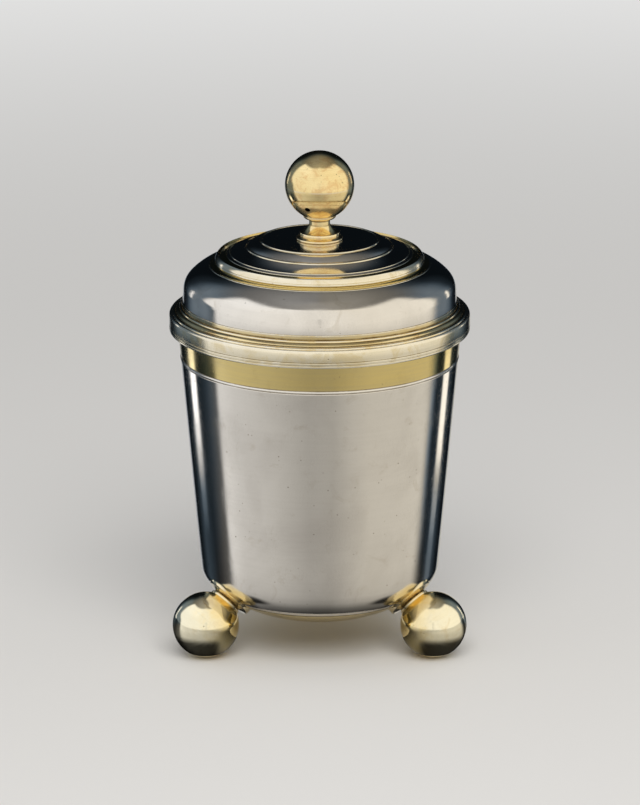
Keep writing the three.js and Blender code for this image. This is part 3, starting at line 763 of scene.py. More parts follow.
def footMount(side):
    neck = cornerLevel(mount["neckRadius"]) - mount["neckWeb"]
    bottom = neck - mount["neckHeight"] - mount["beadHeight"]
    flare = cornerLevel(mount["flangeRadius"]) - mount["rimWeb"]
    beadEdge = mount["beadRadius"] - mount["beadBow"]
    profile = eased(outline([
        (mount["bore"], bottom),
        (beadEdge, bottom),
        (beadEdge, bottom + mount["beadHeight"], mount["beadBow"]),
        (mount["neckRadius"], neck),
        (mount["flangeRadius"] - mount["edge"], flare, -mount["flareHollow"]),
        (mount["flangeRadius"], flare + mount["edge"]),
    ]), mount["ease"], closed=False)
    profile += [(mount["flangeRadius"], wallMark + k) for k in range(1, mount["wallRings"] + 1)]
    profile += [(mount["flangeRadius"] + mount["lipSpread"] * mount["filletReach"], lipMark),
                (mount["flangeRadius"] + mount["filletReach"], topMark), (mount["bore"], topMark)]
    piece = turned(f"foot_{side}_mount_casting", profile, mountGilt, mount["sides"])
    place = footMatrix(side)
    axis = (place.to_3x3() @ Vector((0, 0, 1))).normalized()
    start = flare + mount["edge"]
    for vertex in piece.data.vertices:
        level = vertex.co.z / mm
        foot = place @ Vector((vertex.co.x, vertex.co.y, bottom * mm))
        hit = bodyTree.ray_cast(foot, axis)
        skin = bottom + hit[3] / mm if hit[0] else start
        if level > topMark - markReach:
            level = skin
        elif level > lipMark - markReach:
            level = max(skin - mount["lipRise"] * mount["filletReach"], min(start, skin))
        elif level > wallMark - markReach:
            top = max(skin - mount["filletReach"], min(start, skin))
            level = start + (top - start) * (level - wallMark) / mount["wallRings"] if top > start else top
        vertex.co = foot + axis * (min(level, skin - mount["sunk"]) - bottom) * mm
    facedOut(piece.data, mount["crease"])
    seated(piece, "beaker", "gilt", f"foot_{side}_mount")


for side in feet["azimuths"]:
    footMount(side)
    footBall(side, "inner")
    footBall(side, "outer")
print("feet made: centre", round(footReach, 3), round(footHeight, 3), "table", round(tableHeight, 3))


# Cover: rim band with its flange, and the bezel that drops into the mouth

seatGap = 0.3  # between the flange and the lip
hairGap = 0.01  # between the faces of two pieces that sit on each other
flangeBottom = beaker["lipHeight"] + seatGap
rim = {"clearance": 1.38, "wall": 1.4, "drop": 5.16, "bevel": 0.35, "topEdge": 0.75, "topInset": 0.675,
       "topBow": 0.08, "crown": 0.1, "flange": 1.3, "ledge": 0.3, "domeInset": 2.17, "domeWall": 1.1,
       "lineHeight": 105.47, "lineWidth": 0.5, "lineDepth": 0.17, "footLine": 0.95,
       "footLineWidth": 0.4, "footLineDepth": 0.136, "ease": 0.14, "step": 1.5, "sides": 264}
flangeTop = flangeBottom + rim["flange"]
bandInner = beaker["lipRadius"] + rim["clearance"]
domeRadius = beaker["lipRadius"] - rim["domeInset"]


def rimBand():
    outer = bandInner + rim["wall"]
    bottom = flangeBottom - rim["drop"]
    flangeInner = domeRadius - rim["domeWall"] - rim["ledge"]
    face = outer - rim["crown"]
    outside = outline([(outer - rim["bevel"], bottom), (face, bottom + rim["bevel"]),
                       (face, flangeTop - rim["topEdge"], rim["crown"]),
                       (outer - rim["topInset"], flangeTop, rim["topBow"])])
    outside = engraved(outside, (outer, rim["lineHeight"]), rim["lineWidth"], rim["lineDepth"])
    outside = engraved(outside, (outer, bottom + rim["footLine"]), rim["footLineWidth"],
                       rim["footLineDepth"])
    piece = turnedRound("rim_band_with_flange", outside + [
        (flangeInner, flangeTop), (flangeInner, flangeBottom), (bandInner, flangeBottom),
        (bandInner, bottom)], rim, paleGilt)
    seated(piece, "cover", "pale_gilt", "cover_rim_band")


bezel = {"depth": 9.0, "clearance": 0.4, "wall": 1.0, "lineHeight": 0.8, "lineWidth": 0.45,
         "lineDepth": 0.1, "ease": 0.3, "step": 1.2, "sides": 240}


def bezelRing():
    bottom = flangeBottom - bezel["depth"]
    upper = sideRadius(flangeBottom, -beaker["wall"]) - bezel["clearance"]
    lower = sideRadius(bottom, -beaker["wall"]) - bezel["clearance"]
    outside = engraved([(lower, bottom), (upper, flangeBottom)], (lower, bottom + bezel["lineHeight"]),
                       bezel["lineWidth"], bezel["lineDepth"])
    piece = turnedRound("bezel_ring", outside + [
        (upper - bezel["wall"], flangeBottom), (lower - bezel["wall"], bottom)], bezel, gilt)
    seated(piece, "cover", "gilt", "cover_bezel")


# Moulding round the foot of the dome: a bead, a groove, a slope, a bead and a fascia

footMoulding = {"top": 0.2, "bevel": 0.15, "fillet": 0.1, "lowerBead": (1.0, 0.55, 0.2),
                "groove": (0.4, 0.3, 0), "slopeBand": (1.1, 0.85, 0.08), "upperBead": (0.85, 0.75, 0.3),
                "fascia": (0, 1.6, 0), "solderGap": 0.15, "ease": 0.08, "step": 1.2, "sides": 264}


def domeFootMoulding():
    inside = domeRadius + footMoulding["solderGap"]
    steps = [footMoulding[key] for key in ("lowerBead", "groove", "slopeBand", "upperBead", "fascia")]
    radius = inside + footMoulding["top"] + sum(step[0] for step in steps)
    height = flangeTop + footMoulding["fillet"]
    corners = [(radius, flangeTop + hairGap), (radius, height)]
    for inward, upward, bow in steps:
        radius, height = radius - inward, height + upward
        corners.append((radius, height, bow))
    corners += [(inside, height + footMoulding["bevel"]), (inside, flangeTop + hairGap)]
    piece = turnedRound("dome_foot_moulding", outline(corners, steps=14), footMoulding, mouldingGiltPaintedLight)
    seated(piece, "cover", "gilt", "cover_foot_moulding")


# Dome with its stepped crown, each part following on from the one before

dome = {"skirt": 8.51, "skirtInset": 0.177, "skirtBow": 0.14, "shoulderStart": 5.0,
        "shoulderRadius": 7.0, "shoulderEnd": 45.0, "slopeRadius": 21.5, "slopeEnd": 68.0,
        "filletWidth": 2.4, "filletRise": 0.8, "filletHollow": 0.25, "ledgeWidth": 1.15, "riser": 1.9,
        "terraceWidth": 2.85, "terraceRise": 0.8, "stepWidth": 1.2, "stepRise": 0.6,
        "dishWidth": 6.0, "dishRise": 2.1, "dishHollow": 0.2, "ovoloWidth": 4.7, "ovoloRise": 2.5,
        "ovoloBow": 0.35, "wireWidth": 0.7, "wireFoot": 0.12, "wireDrop": 0.3, "wireBow": 0.37,
        "wireGroove": 0.5, "screwHole": 1.9, "insideFacing": -0.2, "wireRub": 0.55,
        "topWireRub": (0.25, 0.5), "waviness": 0.03, "waveSize": 15.0, "waveSeed": 8.4, "ease": 0.1,
        "step": 1.4, "arcSteps": 14, "insideArcSteps": 10, "sides": 264}
skirtTop = (domeRadius - dome["skirtInset"], flangeTop + dome["skirt"])
shoulderCentre = (skirtTop[0] - dome["shoulderRadius"] * cosine(dome["shoulderStart"]),
                  skirtTop[1] - dome["shoulderRadius"] * sine(dome["shoulderStart"]))
slopeReach = dome["slopeRadius"] - dome["shoulderRadius"]
slopeCentre = (shoulderCentre[0] - slopeReach * cosine(dome["shoulderEnd"]),
               shoulderCentre[1] - slopeReach * sine(dome["shoulderEnd"]))
slopeTop = arc(slopeCentre, dome["slopeRadius"], dome["slopeEnd"], dome["slopeEnd"], 1)[0]


def stepped(place, inward, upward):
    return (place[0] - inward, place[1] + upward)


ledgeOuter = stepped(slopeTop, dome["filletWidth"], dome["filletRise"])
ledgeInner = stepped(ledgeOuter, dome["ledgeWidth"], 0)
terraceOuter = stepped(ledgeInner, 0, dome["riser"])
terraceInner = stepped(terraceOuter, dome["terraceWidth"], dome["terraceRise"])
dishOuter = stepped(terraceInner, dome["stepWidth"], dome["stepRise"])
dishInner = stepped(dishOuter, dome["dishWidth"], dome["dishRise"])
ovoloInner = stepped(dishInner, dome["ovoloWidth"], dome["ovoloRise"])
plateau = ovoloInner[1]

# Raised wires on the dome's steps: place, width and height
wires = ((slopeTop, 0.45, 0.1), (terraceInner, 0.5, 0.12), (dishOuter, 0.5, 0.12),
         (dishInner, 1.0, 0.24))


def steppedDome():
    wall = rim["domeWall"]
    ovolo = outline([dishInner, (*ovoloInner, dome["ovoloBow"])])
    ovolo = [point for point in ovolo[1:-1] if point[0] > ovoloInner[0] + dome["wireGroove"]]
    wireOuter = (ovoloInner[0] + dome["wireFoot"], plateau - dome["wireDrop"])
    wireInner = (ovoloInner[0] - dome["wireWidth"], plateau)
    outside = outline([(domeRadius, flangeTop + hairGap), (*skirtTop, dome["skirtBow"])])
    outside += [*arc(shoulderCentre, dome["shoulderRadius"], dome["shoulderStart"],
                     dome["shoulderEnd"], dome["arcSteps"])[1:],
                *arc(slopeCentre, dome["slopeRadius"], dome["shoulderEnd"], dome["slopeEnd"],
                     dome["arcSteps"])[1:]]
    outside += outline([outside[-1], (*ledgeOuter, -dome["filletHollow"]), ledgeInner, terraceOuter,
                        terraceInner, dishOuter, (*dishInner, -dome["dishHollow"])])[1:]
    outside += ovolo + outline([wireOuter, (*wireInner, dome["wireBow"])]) + [
        (dome["screwHole"], plateau)]
    for place, width, height in wires:
        outside = engraved(outside, place, width, -height)

    def under(place):
        return (place[0] - wall, place[1] - wall)

    inside = outline([(dome["screwHole"], plateau - wall), under(ovoloInner),
                      (*under(dishInner), -dome["ovoloBow"]), (*under(dishOuter), dome["dishHollow"]),
                      under(terraceInner), under(terraceOuter), under(ledgeInner)])
    inside += [*arc(slopeCentre, dome["slopeRadius"] - wall, dome["slopeEnd"], dome["shoulderEnd"],
                    dome["insideArcSteps"]),
               *arc(shoulderCentre, dome["shoulderRadius"] - wall, dome["shoulderEnd"],
                    dome["shoulderStart"], dome["insideArcSteps"])[1:]]
    inside = outline([*inside, (domeRadius - wall, flangeTop + hairGap, -dome["skirtBow"])])
    piece = turnedRound("stepped_dome", outside + inside, dome, coverSilver, **unevenness(dome))

    # The inside is gilt, and so are the fillet, ledge, riser and terrace. The wires are
    # paler, where hands and cloths have rubbed them.
    def inner(radius, height, outward, upward):
        return outward + upward < dome["insideFacing"]

    def oldGilt(radius, height, outward, upward):
        return terraceInner[0] < radius < slopeTop[0] and height > slopeTop[1] + 0.5 * (
            slopeTop[0] - radius > dome["filletWidth"]) and outward + upward > dome["insideFacing"]

    topInset, topReach = dome["topWireRub"]
    spots = [(place, dome["wireRub"] * width) for place, width, _ in wires]
    spots.append(((ovoloInner[0] - topInset, plateau), topReach))

    def onWire(radius, height, outward, upward):
        return any(math.dist((radius, height), place) < reach for place, reach in spots)

    refinish(piece, gilt, inner)
    refinish(piece, coverGilt, oldGilt)
    refinish(piece, paleGilt, onWire)
    seated(piece, "cover", "silver", "cover_dome")


# Moulding on the crown's ledge: a small foot bead, a line, and a rounded slope

crown = {"width": 1.3, "footBow": 0.1, "foot": 0.7, "line": (0.22, 0.08), "slope": (0.12, 0.2),
         "height": 2.6, "top": 0.12, "bow": 0.15, "solderGap": 0.15, "ease": 0.06, "step": 0.8,
         "sides": 240}


def crownMoulding():
    inside, bottom = ledgeInner[0] + crown["solderGap"], ledgeInner[1] + crown["solderGap"]
    edge, foot, top = inside + crown["width"], bottom + crown["foot"], bottom + crown["height"]
    footEdge = edge - crown["footBow"]
    piece = turnedRound("crown_moulding_ring", outline([
        (inside, bottom), (footEdge, bottom), (footEdge, foot, crown["footBow"]),
        (edge - crown["line"][0], foot + crown["line"][1]),
        (edge - crown["slope"][0], foot + crown["slope"][1]),
        (inside + crown["top"], top, crown["bow"]), (inside, top)], steps=20), crown, paleGilt)
    seated(piece, "cover", "gilt", "cover_crown_moulding")


rimBand()
bezelRing()
domeFootMoulding()
steppedDome()
crownMoulding()
print("cover turned: plateau at", round(plateau, 3))


# Finial, stacked on the plateau: ring, spool, bead and hollow ball

finial = {"ringRadius": 8.3, "ringHeight": 1.4, "ringEdge": 0.9, "ringBow": 0.4, "discRadius": 7.0,
          "discHeight": 1.3, "discBow": 0.15, "discBevel": 0.3, "waistHeight": 2.8, "waistHollow": 0.3,
          "neckRadius": 3.72, "neckHeight": 1.6, "flare": 0.8, "flareHeight": 0.5, "flareHollow": 0.1,
          "beadFoot": 4.4, "beadHeight": 1.3, "beadBow": 0.45, "ballRadius": 12.3, "ballWall": 1.0,
          "mouthRadius": 5.95, "boreRadius": 3.0, "ventRadius": 1.0, "ventAzimuth": 245.6,
          "ventDrop": 33.0, "ballLift": 0.005, "seam": 0.002, "hollowReach": 0.1, "screwReach": 4.0,
          "boreGap": 0.3, "ease": 0.1, "step": 0.6, "sides": 128, "ballSides": 160}
ringTop = plateau + finial["ringHeight"]
discTop = ringTop + finial["discHeight"]
neckBottom = discTop + finial["waistHeight"]
beadBottom = neckBottom + finial["neckHeight"] + finial["flareHeight"]
ballSeat = beadBottom + finial["beadHeight"]
ballDrop = math.sqrt(finial["ballRadius"] ** 2 - finial["mouthRadius"] ** 2)
ballCentre = ballSeat + ballDrop
hole = dome["screwHole"]


def finialPiece(name, corners, node, closed=True, after=()):
    piece = turnedRound(name, outline(corners, steps=16), finial, finialGilt, closed, after)
    seated(piece, "cover", "gilt", node)


def finialFoot():
    edge = finial["ringRadius"] - finial["ringBow"]
    finialPiece("finial_foot_ring", [
        (hole, plateau), (edge, plateau), (edge, plateau + finial["ringEdge"], finial["ringBow"]),
        (finial["discRadius"] + finial["discBow"], ringTop), (hole, ringTop)], "finial_base_ring")
    boreTop = ringTop + finial["screwReach"] + finial["boreGap"]
    disc, neck = finial["discRadius"], finial["neckRadius"]
    finialPiece("finial_spool", [
        (hole, ringTop), (disc, ringTop), (disc, discTop, finial["discBow"]),
        (disc - finial["discBevel"], discTop), (neck, neckBottom, -finial["waistHollow"]),
        (neck, neckBottom + finial["neckHeight"]),
        (neck + finial["flare"], beadBottom, -finial["flareHollow"]), (0, beadBottom)],
        "finial_stem", False, [(0, boreTop), (hole, boreTop), (hole, ringTop)])
    finialPiece("finial_neck_bead", [
        (0, beadBottom), (finial["beadFoot"], beadBottom),
        (finial["mouthRadius"], ballSeat, finial["beadBow"]), (0, ballSeat)], "finial_collar", False)


def finialBall():
    radius, inner = finial["ballRadius"], finial["ballRadius"] - finial["ballWall"]
    centre = (0, ballCentre)
    mouthAngle = math.degrees(math.acos(finial["mouthRadius"] / radius))
    boreAngle = math.degrees(math.acos(finial["boreRadius"] / inner))
    outside = arc(centre, radius, -mouthAngle, 0, 40)
    outside.insert(-1, arc(centre, radius, -0.25, 0, 1)[0])  # keeps the seam crisp
    inside = arc(centre, inner, 0, -boreAngle, 20)
    foot = (inside[-1][0], ballSeat + finial["ballLift"])
    lower = turned("finial_lower_half", [*outside, *inside, foot], finialGilt, finial["ballSides"])
    vent = (Matrix.Translation(Vector((0, 0, ballCentre)) * mm)
            @ Matrix.Rotation(math.radians(finial["ventAzimuth"]), 4, "Z")
            @ Matrix.Rotation(math.radians(finial["ventDrop"] + 90), 4, "Y"))
    drilled(lower, (0, 0, radius), finial["ventRadius"], radius, vent)
    profile = [(r, z + ballCentre) for r, z in halfBall(radius, finial["ballWall"], finial["seam"],
                                                        steps=64)]
    upper = turned("finial_upper_half", profile, finialGilt, finial["ballSides"], closed=False)

    # The inside of the hollow is painted near black, a painted shade that the vent shows
    def hollow(out, height, outward, upward):
        return math.hypot(out, height - ballCentre) < inner + finial["hollowReach"]

    for half, node in ((lower, "finial_ball_lower"), (upper, "finial_ball_upper")):
        refinish(half, ballInsidePaintedShade, hollow)
        seated(half, "cover", "gilt", node)


finialFoot()
finialBall()
print("finial made: ball centre at", round(ballCentre, 3))


# Fastening under the crown: a threaded screw, a washer and a square nut

fasteners = {"screwRadius": 1.6, "pitch": 0.5, "threadDepth": 0.22, "tail": 1.0, "screwEnd": 0.25,
             "endBevel": 0.3, "screwRows": 200, "screwSides": 48, "washerRadius": 6.0, "washer": 0.8,
             "nutWidth": 8.0, "nut": 3.0, "chamfer": 0.5, "chamferFrom": 0.1, "nutStep": 0.5,
             "nutCrease": 30, "ease": 0.12, "step": 0.6, "sides": 96}
washerTop = plateau - rim["domeWall"]
nutTop = washerTop - fasteners["washer"]
nutBottom = nutTop - fasteners["nut"]


def threadedScrew():
    low, high = nutBottom - fasteners["tail"], ringTop + finial["screwReach"]
    radius, end, rows = fasteners["screwRadius"], fasteners["screwEnd"], fasteners["screwRows"]
    bevelled = radius - fasteners["endBevel"]
    side = [(radius, low + end + (high - low - 2 * end) * k / rows) for k in range(rows + 1)]
    thread = {"Thread Pitch": fasteners["pitch"] * mm, "Thread Depth": fasteners["threadDepth"] * mm}
    piece = turned("threaded_screw", [(0, low), (bevelled, low), *side, (bevelled, high), (0, high)],
                   fastening, fasteners["screwSides"], closed=False, **thread)
    seated(piece, "cover", "fastening", "finial_screw")


def cutWasher():
    low, high, edge = nutTop + hairGap, washerTop - hairGap, fasteners["washerRadius"]
    piece = turnedRound("cut_washer", [(hole, low), (edge, low), (edge, high), (hole, high)],
                        fasteners, fastening)
    seated(piece, "cover", "fastening", "finial_washer")


# The nut is turned too, with each ring drawn out to the square, and its corners chamfered
def squareNut():
    half = fasteners["nutWidth"] / 2
    piece = turnedRound("square_nut", [(hole, nutBottom), (half, nutBottom), (half, nutTop),
                                       (hole, nutTop)],
                        {**fasteners, "step": fasteners["nutStep"]}, fastening)
    for vertex in piece.data.vertices:
        x, y, z = vertex.co / mm
        angle = math.atan2(y, x)
        reach = 1 / max(abs(math.cos(angle)), abs(math.sin(angle)))
        share = (math.hypot(x, y) - hole) / (half - hole)
        radius = hole + (half * reach - hole) * share
        spill = max(0, radius - half - fasteners["chamferFrom"])
        if z < nutBottom + 0.5 * fasteners["nut"]:
            z = max(z, nutBottom + fasteners["chamfer"] * spill)
        vertex.co = Vector((radius * math.cos(angle), radius * math.sin(angle), z)) * mm
    facedOut(piece.data, fasteners["nutCrease"])
    seated(piece, "cover", "fastening", "finial_nut")


threadedScrew()
cutWasher()
squareNut()
print("fastening made")


# Studio: a pale floor and surround, a lamp for the floor, and a shell that only the metal
# mirrors. On it are two big soft panels left and right of the camera, with a thin gap
# between them, two strips beside the beaker, and a dark room behind. Turns are degrees
# from the front, positive to the viewer's right, and reaches are metres from the axis.

studio = {"floorTone": (0.80, 0.79, 0.775), "floorSize": 9.0, "floorFade": (0.3, 1.6),
          "floorRoughness": 0.9, "surround": (0.86, 0.86, 0.855), "ambient": 0.55}
softbox = {"azimuth": 8, "elevation": 48, "distance": 1.5, "width": 1.3, "height": 1.0, "power": 14,
           "tone": (1.0, 0.985, 0.96), "aim": (0, 0, 0.075)}
shell = {"tableReach": (0.030, 1.1), "tableRows": 60, "tableLift": 0.002, "radius": 1.25,
         "middle": 0.09, "turnStep": 1.5, "riseStep": 2.0,
         "panelTone": 0.98, "panelLeft": -97.5, "leftSoft": 3.0, "panelRight": 110.0, "rightSoft": 8.0,
         "wallEdge": 113.0, "wallSoft": 5.0, "wallLean": (0, 12), "topSoft": 3.0,
         "panelTop": ((0, 74), (78, 63), (95, 60), (113, 55)),
         "gap": 1.2, "gapTone": 0.5, "gapTop": 24, "gapSoft": 6,
         "glowTone": 0.08, "glowRise": (25, 45), "glowTurn": (15, 50),
         "tableTones": ((-90, 0.81), (-78, 0.70), (-42, 0.58), (-10, 0.43), (12, 0.44), (28, 0.55),
                        (44, 0.62), (98, 0.68)),
         "tableFade": ((0.45, 0.0), (0.5, 0.2), (0.75, 0.8), (1.1, 1.0)),
         "paintedShadeNearAxis": ((0.030, 0.05), (0.045, 0.25), (0.052, 0.45), (0.062, 0.68), (0.08, 0.8),
                        (0.105, 1.0)),
         "bodyRadius": 0.048, "mirroredMost": 0.97, "mirrorSteps": 20,
         "roomTones": ((17, 0.005), (30, 0.02), (43, 0.08), (50, 0.13), (61, 0.19), (72, 0.25)),
         "roomRise": (30, 60), "zenithTone": 0.36, "zenithRise": (60, 80),
         "besideTones": ((100, 0.11), (106, 0.08), (113, 0.04), (120, 0.02), (140, 0.06), (148, 0.02),
                         (156, 0.005)),
         "behindTurn": 164.0, "behindSoft": 3.0, "behindTone": 0.5, "behindReach": (0.55, 0.9),
         "sideGlow": 0.17, "sideGlowStart": (98, 112), "sideGlowEnd": (128, 148),
         "sideGlowReach": (0.38, 0.6),
         "stripTurn": 134.0, "stripHalf": 5.5, "stripSoft": 1.5, "stripWall": 1.3,
         "stripWallHalf": 2.2, "stripTop": (8.0, 15.0),
         "leftStrip": ((0.14, 0.02), (0.20, 0.2), (0.25, 1.1), (0.31, 1.8), (0.36, 1.6), (0.42, 0.05)),
         "rightStrip": ((0.14, 0.17), (0.20, 0.42), (0.25, 1.3), (0.31, 1.2), (0.36, 1.1), (0.42, 0.05)),
         "feetShade": 0.94, "feetShadeReach": (14, 24), "feetShadeSide": (-5, 1),
         "warmth": ((-90, -0.25), (0, 0.45), (40, 1.0)), "warmTint": (0.04, 0.09),
         "coolTint": (0.35, 0.4), "coolTone": 0.5, "coolTurn": (85, 105), "coolRise": (35, 60)}


# 1 for what the camera sees, straight or in metal and glass
def seenShare(tree):
    path = tree.nodes.new("ShaderNodeLightPath")
    return calc(tree, "MAXIMUM", calc(tree, "MAXIMUM", path.outputs["Is Camera Ray"],
                                      path.outputs["Is Glossy Ray"]), path.outputs["Is Transmission Ray"])


# Far from the object, the floor fades into the surround
def floor():
    size, level = studio["floorSize"], tableHeight * mm
    mesh = bpy.data.meshes.new("floor")
    mesh.from_pydata([(-size, -size, level), (size, -size, level), (size, size, level),
                      (-size, size, level)], [], [(0, 1, 2, 3)])
    material = emptyMaterial("pale_floor")
    tree = material.node_tree
    plain = made(tree, "ShaderNodeBsdfPrincipled", {
        "Base Color": (*studio["floorTone"], 1), "Roughness": studio["floorRoughness"],
        "Specular IOR Level": 0.0})
    away = lengthOf(tree, made(tree, "ShaderNodeTexCoord", output=3))
    share = times(tree, ranged(tree, away, *studio["floorFade"]), seenShare(tree))
    glow = made(tree, "ShaderNodeEmission", {"Color": (*studio["surround"], 1)})
    shadedBy(tree, made(tree, "ShaderNodeMixShader", {0: share, 1: plain, 2: glow}))
    mesh.materials.append(material)
    placed("floor", mesh)


def surround():
    world = bpy.data.worlds.new("surround")
    scene.world = world
    world.use_nodes = True
    tree = world.node_tree
    tree.nodes.clear()
    strength = made(tree, "ShaderNodeMapRange", {
        "Value": seenShare(tree), "To Min": studio["ambient"], "To Max": 1.0})
    light = made(tree, "ShaderNodeBackground", {"Color": (*studio["surround"], 1), "Strength": strength})
    shadedBy(tree, light, "ShaderNodeOutputWorld")


# A soft lamp at an azimuth from the front, as the viewer sees it, and a height angle. The
# metal mirrors the shell instead.
def frontSoftbox():
    light = bpy.data.lights.new("front_softbox", "AREA")
    light.shape, light.size, light.size_y = "RECTANGLE", softbox["width"], softbox["height"]
    light.energy, light.color = softbox["power"], softbox["tone"]
    piece = placed("front_softbox", light)
    turn, rise = math.radians(softbox["azimuth"] - 90), math.radians(softbox["elevation"])
    away = Vector((math.cos(turn) * math.cos(rise), math.sin(turn) * math.cos(rise), math.sin(rise)))
    piece.location = Vector(softbox["aim"]) + away * softbox["distance"]
    piece.rotation_euler = (-away).to_track_quat("-Z", "Y").to_euler()
    piece.visible_glossy = False


# The value at a place on a line of (place, value) stops
def between(place, stops):
    if place <= stops[0][0]:
        return stops[0][1]
    for (low, first), (high, second) in zip(stops, stops[1:]):
        if place <= high:
            return first + (second - first) * (place - low) / (high - low)
    return stops[-1][1]


def ease(value, low, high):
    share = min(1, max(0, (value - low) / (high - low)))
    return share * share * (3 - 2 * share)


def past(place, edge, soft):
    return ease(place, edge - soft, edge + soft)


# 1 between two edges, each with half the width of its soft part
def within(place, low, high, lowSoft, highSoft):
    return past(place, low, lowSoft) * (1 - past(place, high, highSoft))


# Beside and behind the panels: dark, with a glow at the sides, and a paler table behind
def besideTone(turn, far, behindShare):
    away = abs(turn)
    tone = between(away, shell["besideTones"])
    behind = past(away, shell["behindTurn"], shell["behindSoft"]) * behindShare
    glow = shell["sideGlow"] * ease(away, *shell["sideGlowStart"]) * (
        1 - ease(away, *shell["sideGlowEnd"])) * far
    return tone + (shell["behindTone"] - tone) * behind + glow


def stripShare(turn, half):
    return 1 - past(abs(abs(turn) - shell["stripTurn"]), half, shell["stripSoft"])


# The table is dark close round the outer side of each foot
def feetShade(turn, reach):
    spot = Vector((reach * sine(turn), -reach * cosine(turn))) / mm
    shade = 0
    for azimuth in feet["azimuths"].values():
        outward = Vector((cosine(azimuth), sine(azimuth)))
        away = spot - outward * footReach
        near = 1 - ease(away.length, *shell["feetShadeReach"])
        shade = max(shade, near * ease(away.dot(outward), *shell["feetShadeSide"]))
    return 1 - shell["feetShade"] * shade


# The body mirrors a place on the table at another turn than the one that it lies at. This
# gives the mirrored turn, and the reach of that place along the mirrored ray.
def mirrored(turn, reach):
    share = min(shell["mirroredMost"], shell["bodyRadius"] / reach)
    seen = turn
    for step in range(shell["mirrorSteps"]):
        seen = turn + math.degrees(math.asin(share * sine(seen / 2)))
    seen = max(-180, min(180, seen))
    inner = min(reach, shell["bodyRadius"])
    along = math.sqrt(max(0, reach ** 2 - (inner * sine(seen / 2)) ** 2)) - inner * cosine(seen / 2)
    return seen, along + inner


# Close round the beaker's axis the mirrored table has a painted shade, darkest right under the beaker
def tableTone(place, distance):
    turn, reach = mirrored(place, distance)
    inPanel = within(turn, shell["panelLeft"], shell["panelRight"], shell["leftSoft"], shell["rightSoft"])
    near = between(turn, shell["tableTones"]) * between(distance, shell["paintedShadeNearAxis"])
    panel = near + (shell["panelTone"] - near) * between(reach, shell["tableFade"])
    beside = besideTone(turn, ease(reach, *shell["sideGlowReach"]), 1 - ease(reach, *shell["behindReach"]))
    tone = beside + (panel - beside) * inPanel
    strip = between(reach, shell["leftStrip" if turn < 0 else "rightStrip"])
    return max(tone * feetShade(place, distance), strip * stripShare(turn, shell["stripHalf"]))


# The panels lean out to their edges on the wall, and end at a top that falls to the sides
def wallTone(turn, rise):
    lean = ease(rise, *shell["wallLean"])
    left = shell["panelLeft"] + (-shell["wallEdge"] - shell["panelLeft"]) * lean
    right = shell["panelRight"] + (shell["wallEdge"] - shell["panelRight"]) * lean
    top = between(abs(turn), shell["panelTop"])
    inPanel = within(turn, left, right, shell["wallSoft"], shell["wallSoft"]) * (
        1 - past(rise, top, shell["topSoft"]))
    panel = shell["panelTone"] + shell["glowTone"] * ease(rise, *shell["glowRise"]) * ease(
        -turn, *shell["glowTurn"])
    gap = (1 - past(abs(turn), shell["gap"], 0.5 * shell["gap"])) * (
        1 - ease(rise, shell["gapTop"] - shell["gapSoft"], shell["gapTop"]))
    panel += (shell["gapTone"] - panel) * gap
    room = between(rise, shell["roomTones"])
    room += (shell["zenithTone"] - room) * ease(rise, *shell["zenithRise"]) * (0.5 + 0.5 * cosine(turn))
    room += (besideTone(turn, 1, 0) - room) * (1 - ease(rise, *shell["roomRise"]))
    strip = shell["stripWall"] * stripShare(turn, shell["stripWallHalf"]) * (
        1 - ease(rise, *shell["stripTop"]))
    return max(room + (panel - room) * inPanel, strip)


# Dark places beside the panels are bluish, and the light is warmer to the right
def tinted(tone, turn, rise):
    cool = max(0, 1 - tone / shell["coolTone"]) * ease(abs(turn), *shell["coolTurn"]) * (
        1 - ease(rise, *shell["coolRise"]))
    warm = between(turn, shell["warmth"]) * (1 - cool)
    lessRed, moreBlue = shell["coolTint"]
    moreRed, lessBlue = shell["warmTint"]
    return (tone * (1 - lessRed * cool + moreRed * warm), tone,
            tone * (1 + moreBlue * cool - lessBlue * warm), 1)


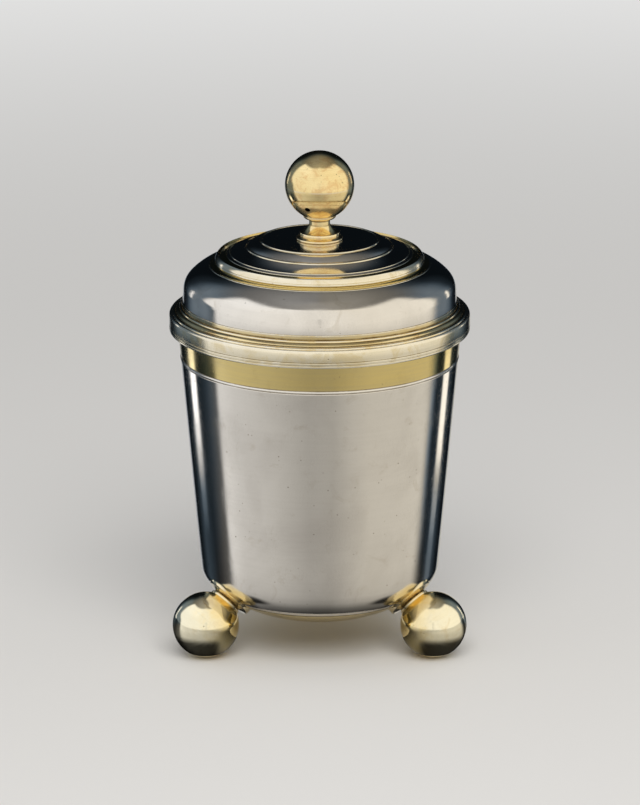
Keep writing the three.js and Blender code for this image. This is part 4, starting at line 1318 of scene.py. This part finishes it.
# A flat table, then a dome, in rings of points that each have their tone
def reflectedShell():
    low, high = shell["tableReach"]
    level = tableHeight * mm + shell["tableLift"]
    rows = []
    for k in range(shell["tableRows"] + 1):
        reach = low * (high / low) ** (k / shell["tableRows"])
        rows.append((reach, level, tableTone, reach))
    start = math.degrees(math.asin((level - shell["middle"]) / shell["radius"]))
    wallRows = round((90 - start) / shell["riseStep"])
    for k in range(wallRows + 1):
        rise = start + (90 - start) * k / wallRows
        rows.append((shell["radius"] * cosine(rise), shell["middle"] + shell["radius"] * sine(rise),
                     wallTone, rise))
    steps = round(360 / shell["turnStep"])
    points, faces, colours = [], [], []
    for reach, height, toneAt, place in rows:
        for k in range(steps):
            turn = -180 + 360 * k / steps
            points.append((reach * sine(turn), -reach * cosine(turn), height))
            colours += tinted(toneAt(turn, place), turn, place if toneAt == wallTone else 0)
    for i in range(len(rows) - 1):
        for k in range(steps):
            after = (k + 1) % steps
            faces.append((i * steps + k, i * steps + after, (i + 1) * steps + after, (i + 1) * steps + k))
    mesh = bpy.data.meshes.new("reflected_shell")
    mesh.from_pydata(points, [], faces)
    mesh.color_attributes.new("tone", "FLOAT_COLOR", "POINT").data.foreach_set("color", colours)
    material = emptyMaterial("reflected_shell")
    tree = material.node_tree
    tone = made(tree, "ShaderNodeAttribute", attribute_name="tone")
    shadedBy(tree, made(tree, "ShaderNodeEmission", {"Color": tone, "Strength": 1.0}))
    mesh.materials.append(material)
    piece = placed("reflected_shell", mesh)
    piece.visible_camera = False
    piece.visible_diffuse = False
    piece.visible_shadow = False
    piece.visible_transmission = False


floor()
surround()
frontSoftbox()
reflectedShell()


camera = {"place": (0.00014, -1.6496, 0.5658), "aim": (0.00014, 0, 0.07556), "lens": 214.6, "sensor": 36}


def photographView():
    data = bpy.data.cameras.new("camera")
    data.lens, data.sensor_width, data.sensor_fit = camera["lens"], camera["sensor"], "AUTO"
    piece = placed("camera", data)
    piece.location = camera["place"]
    way = Vector(camera["aim"]) - Vector(camera["place"])
    piece.rotation_euler = way.to_track_quat("-Z", "Y").to_euler()
    scene.camera = piece


photographView()
scene.view_settings.view_transform = "Standard"
print("studio set")
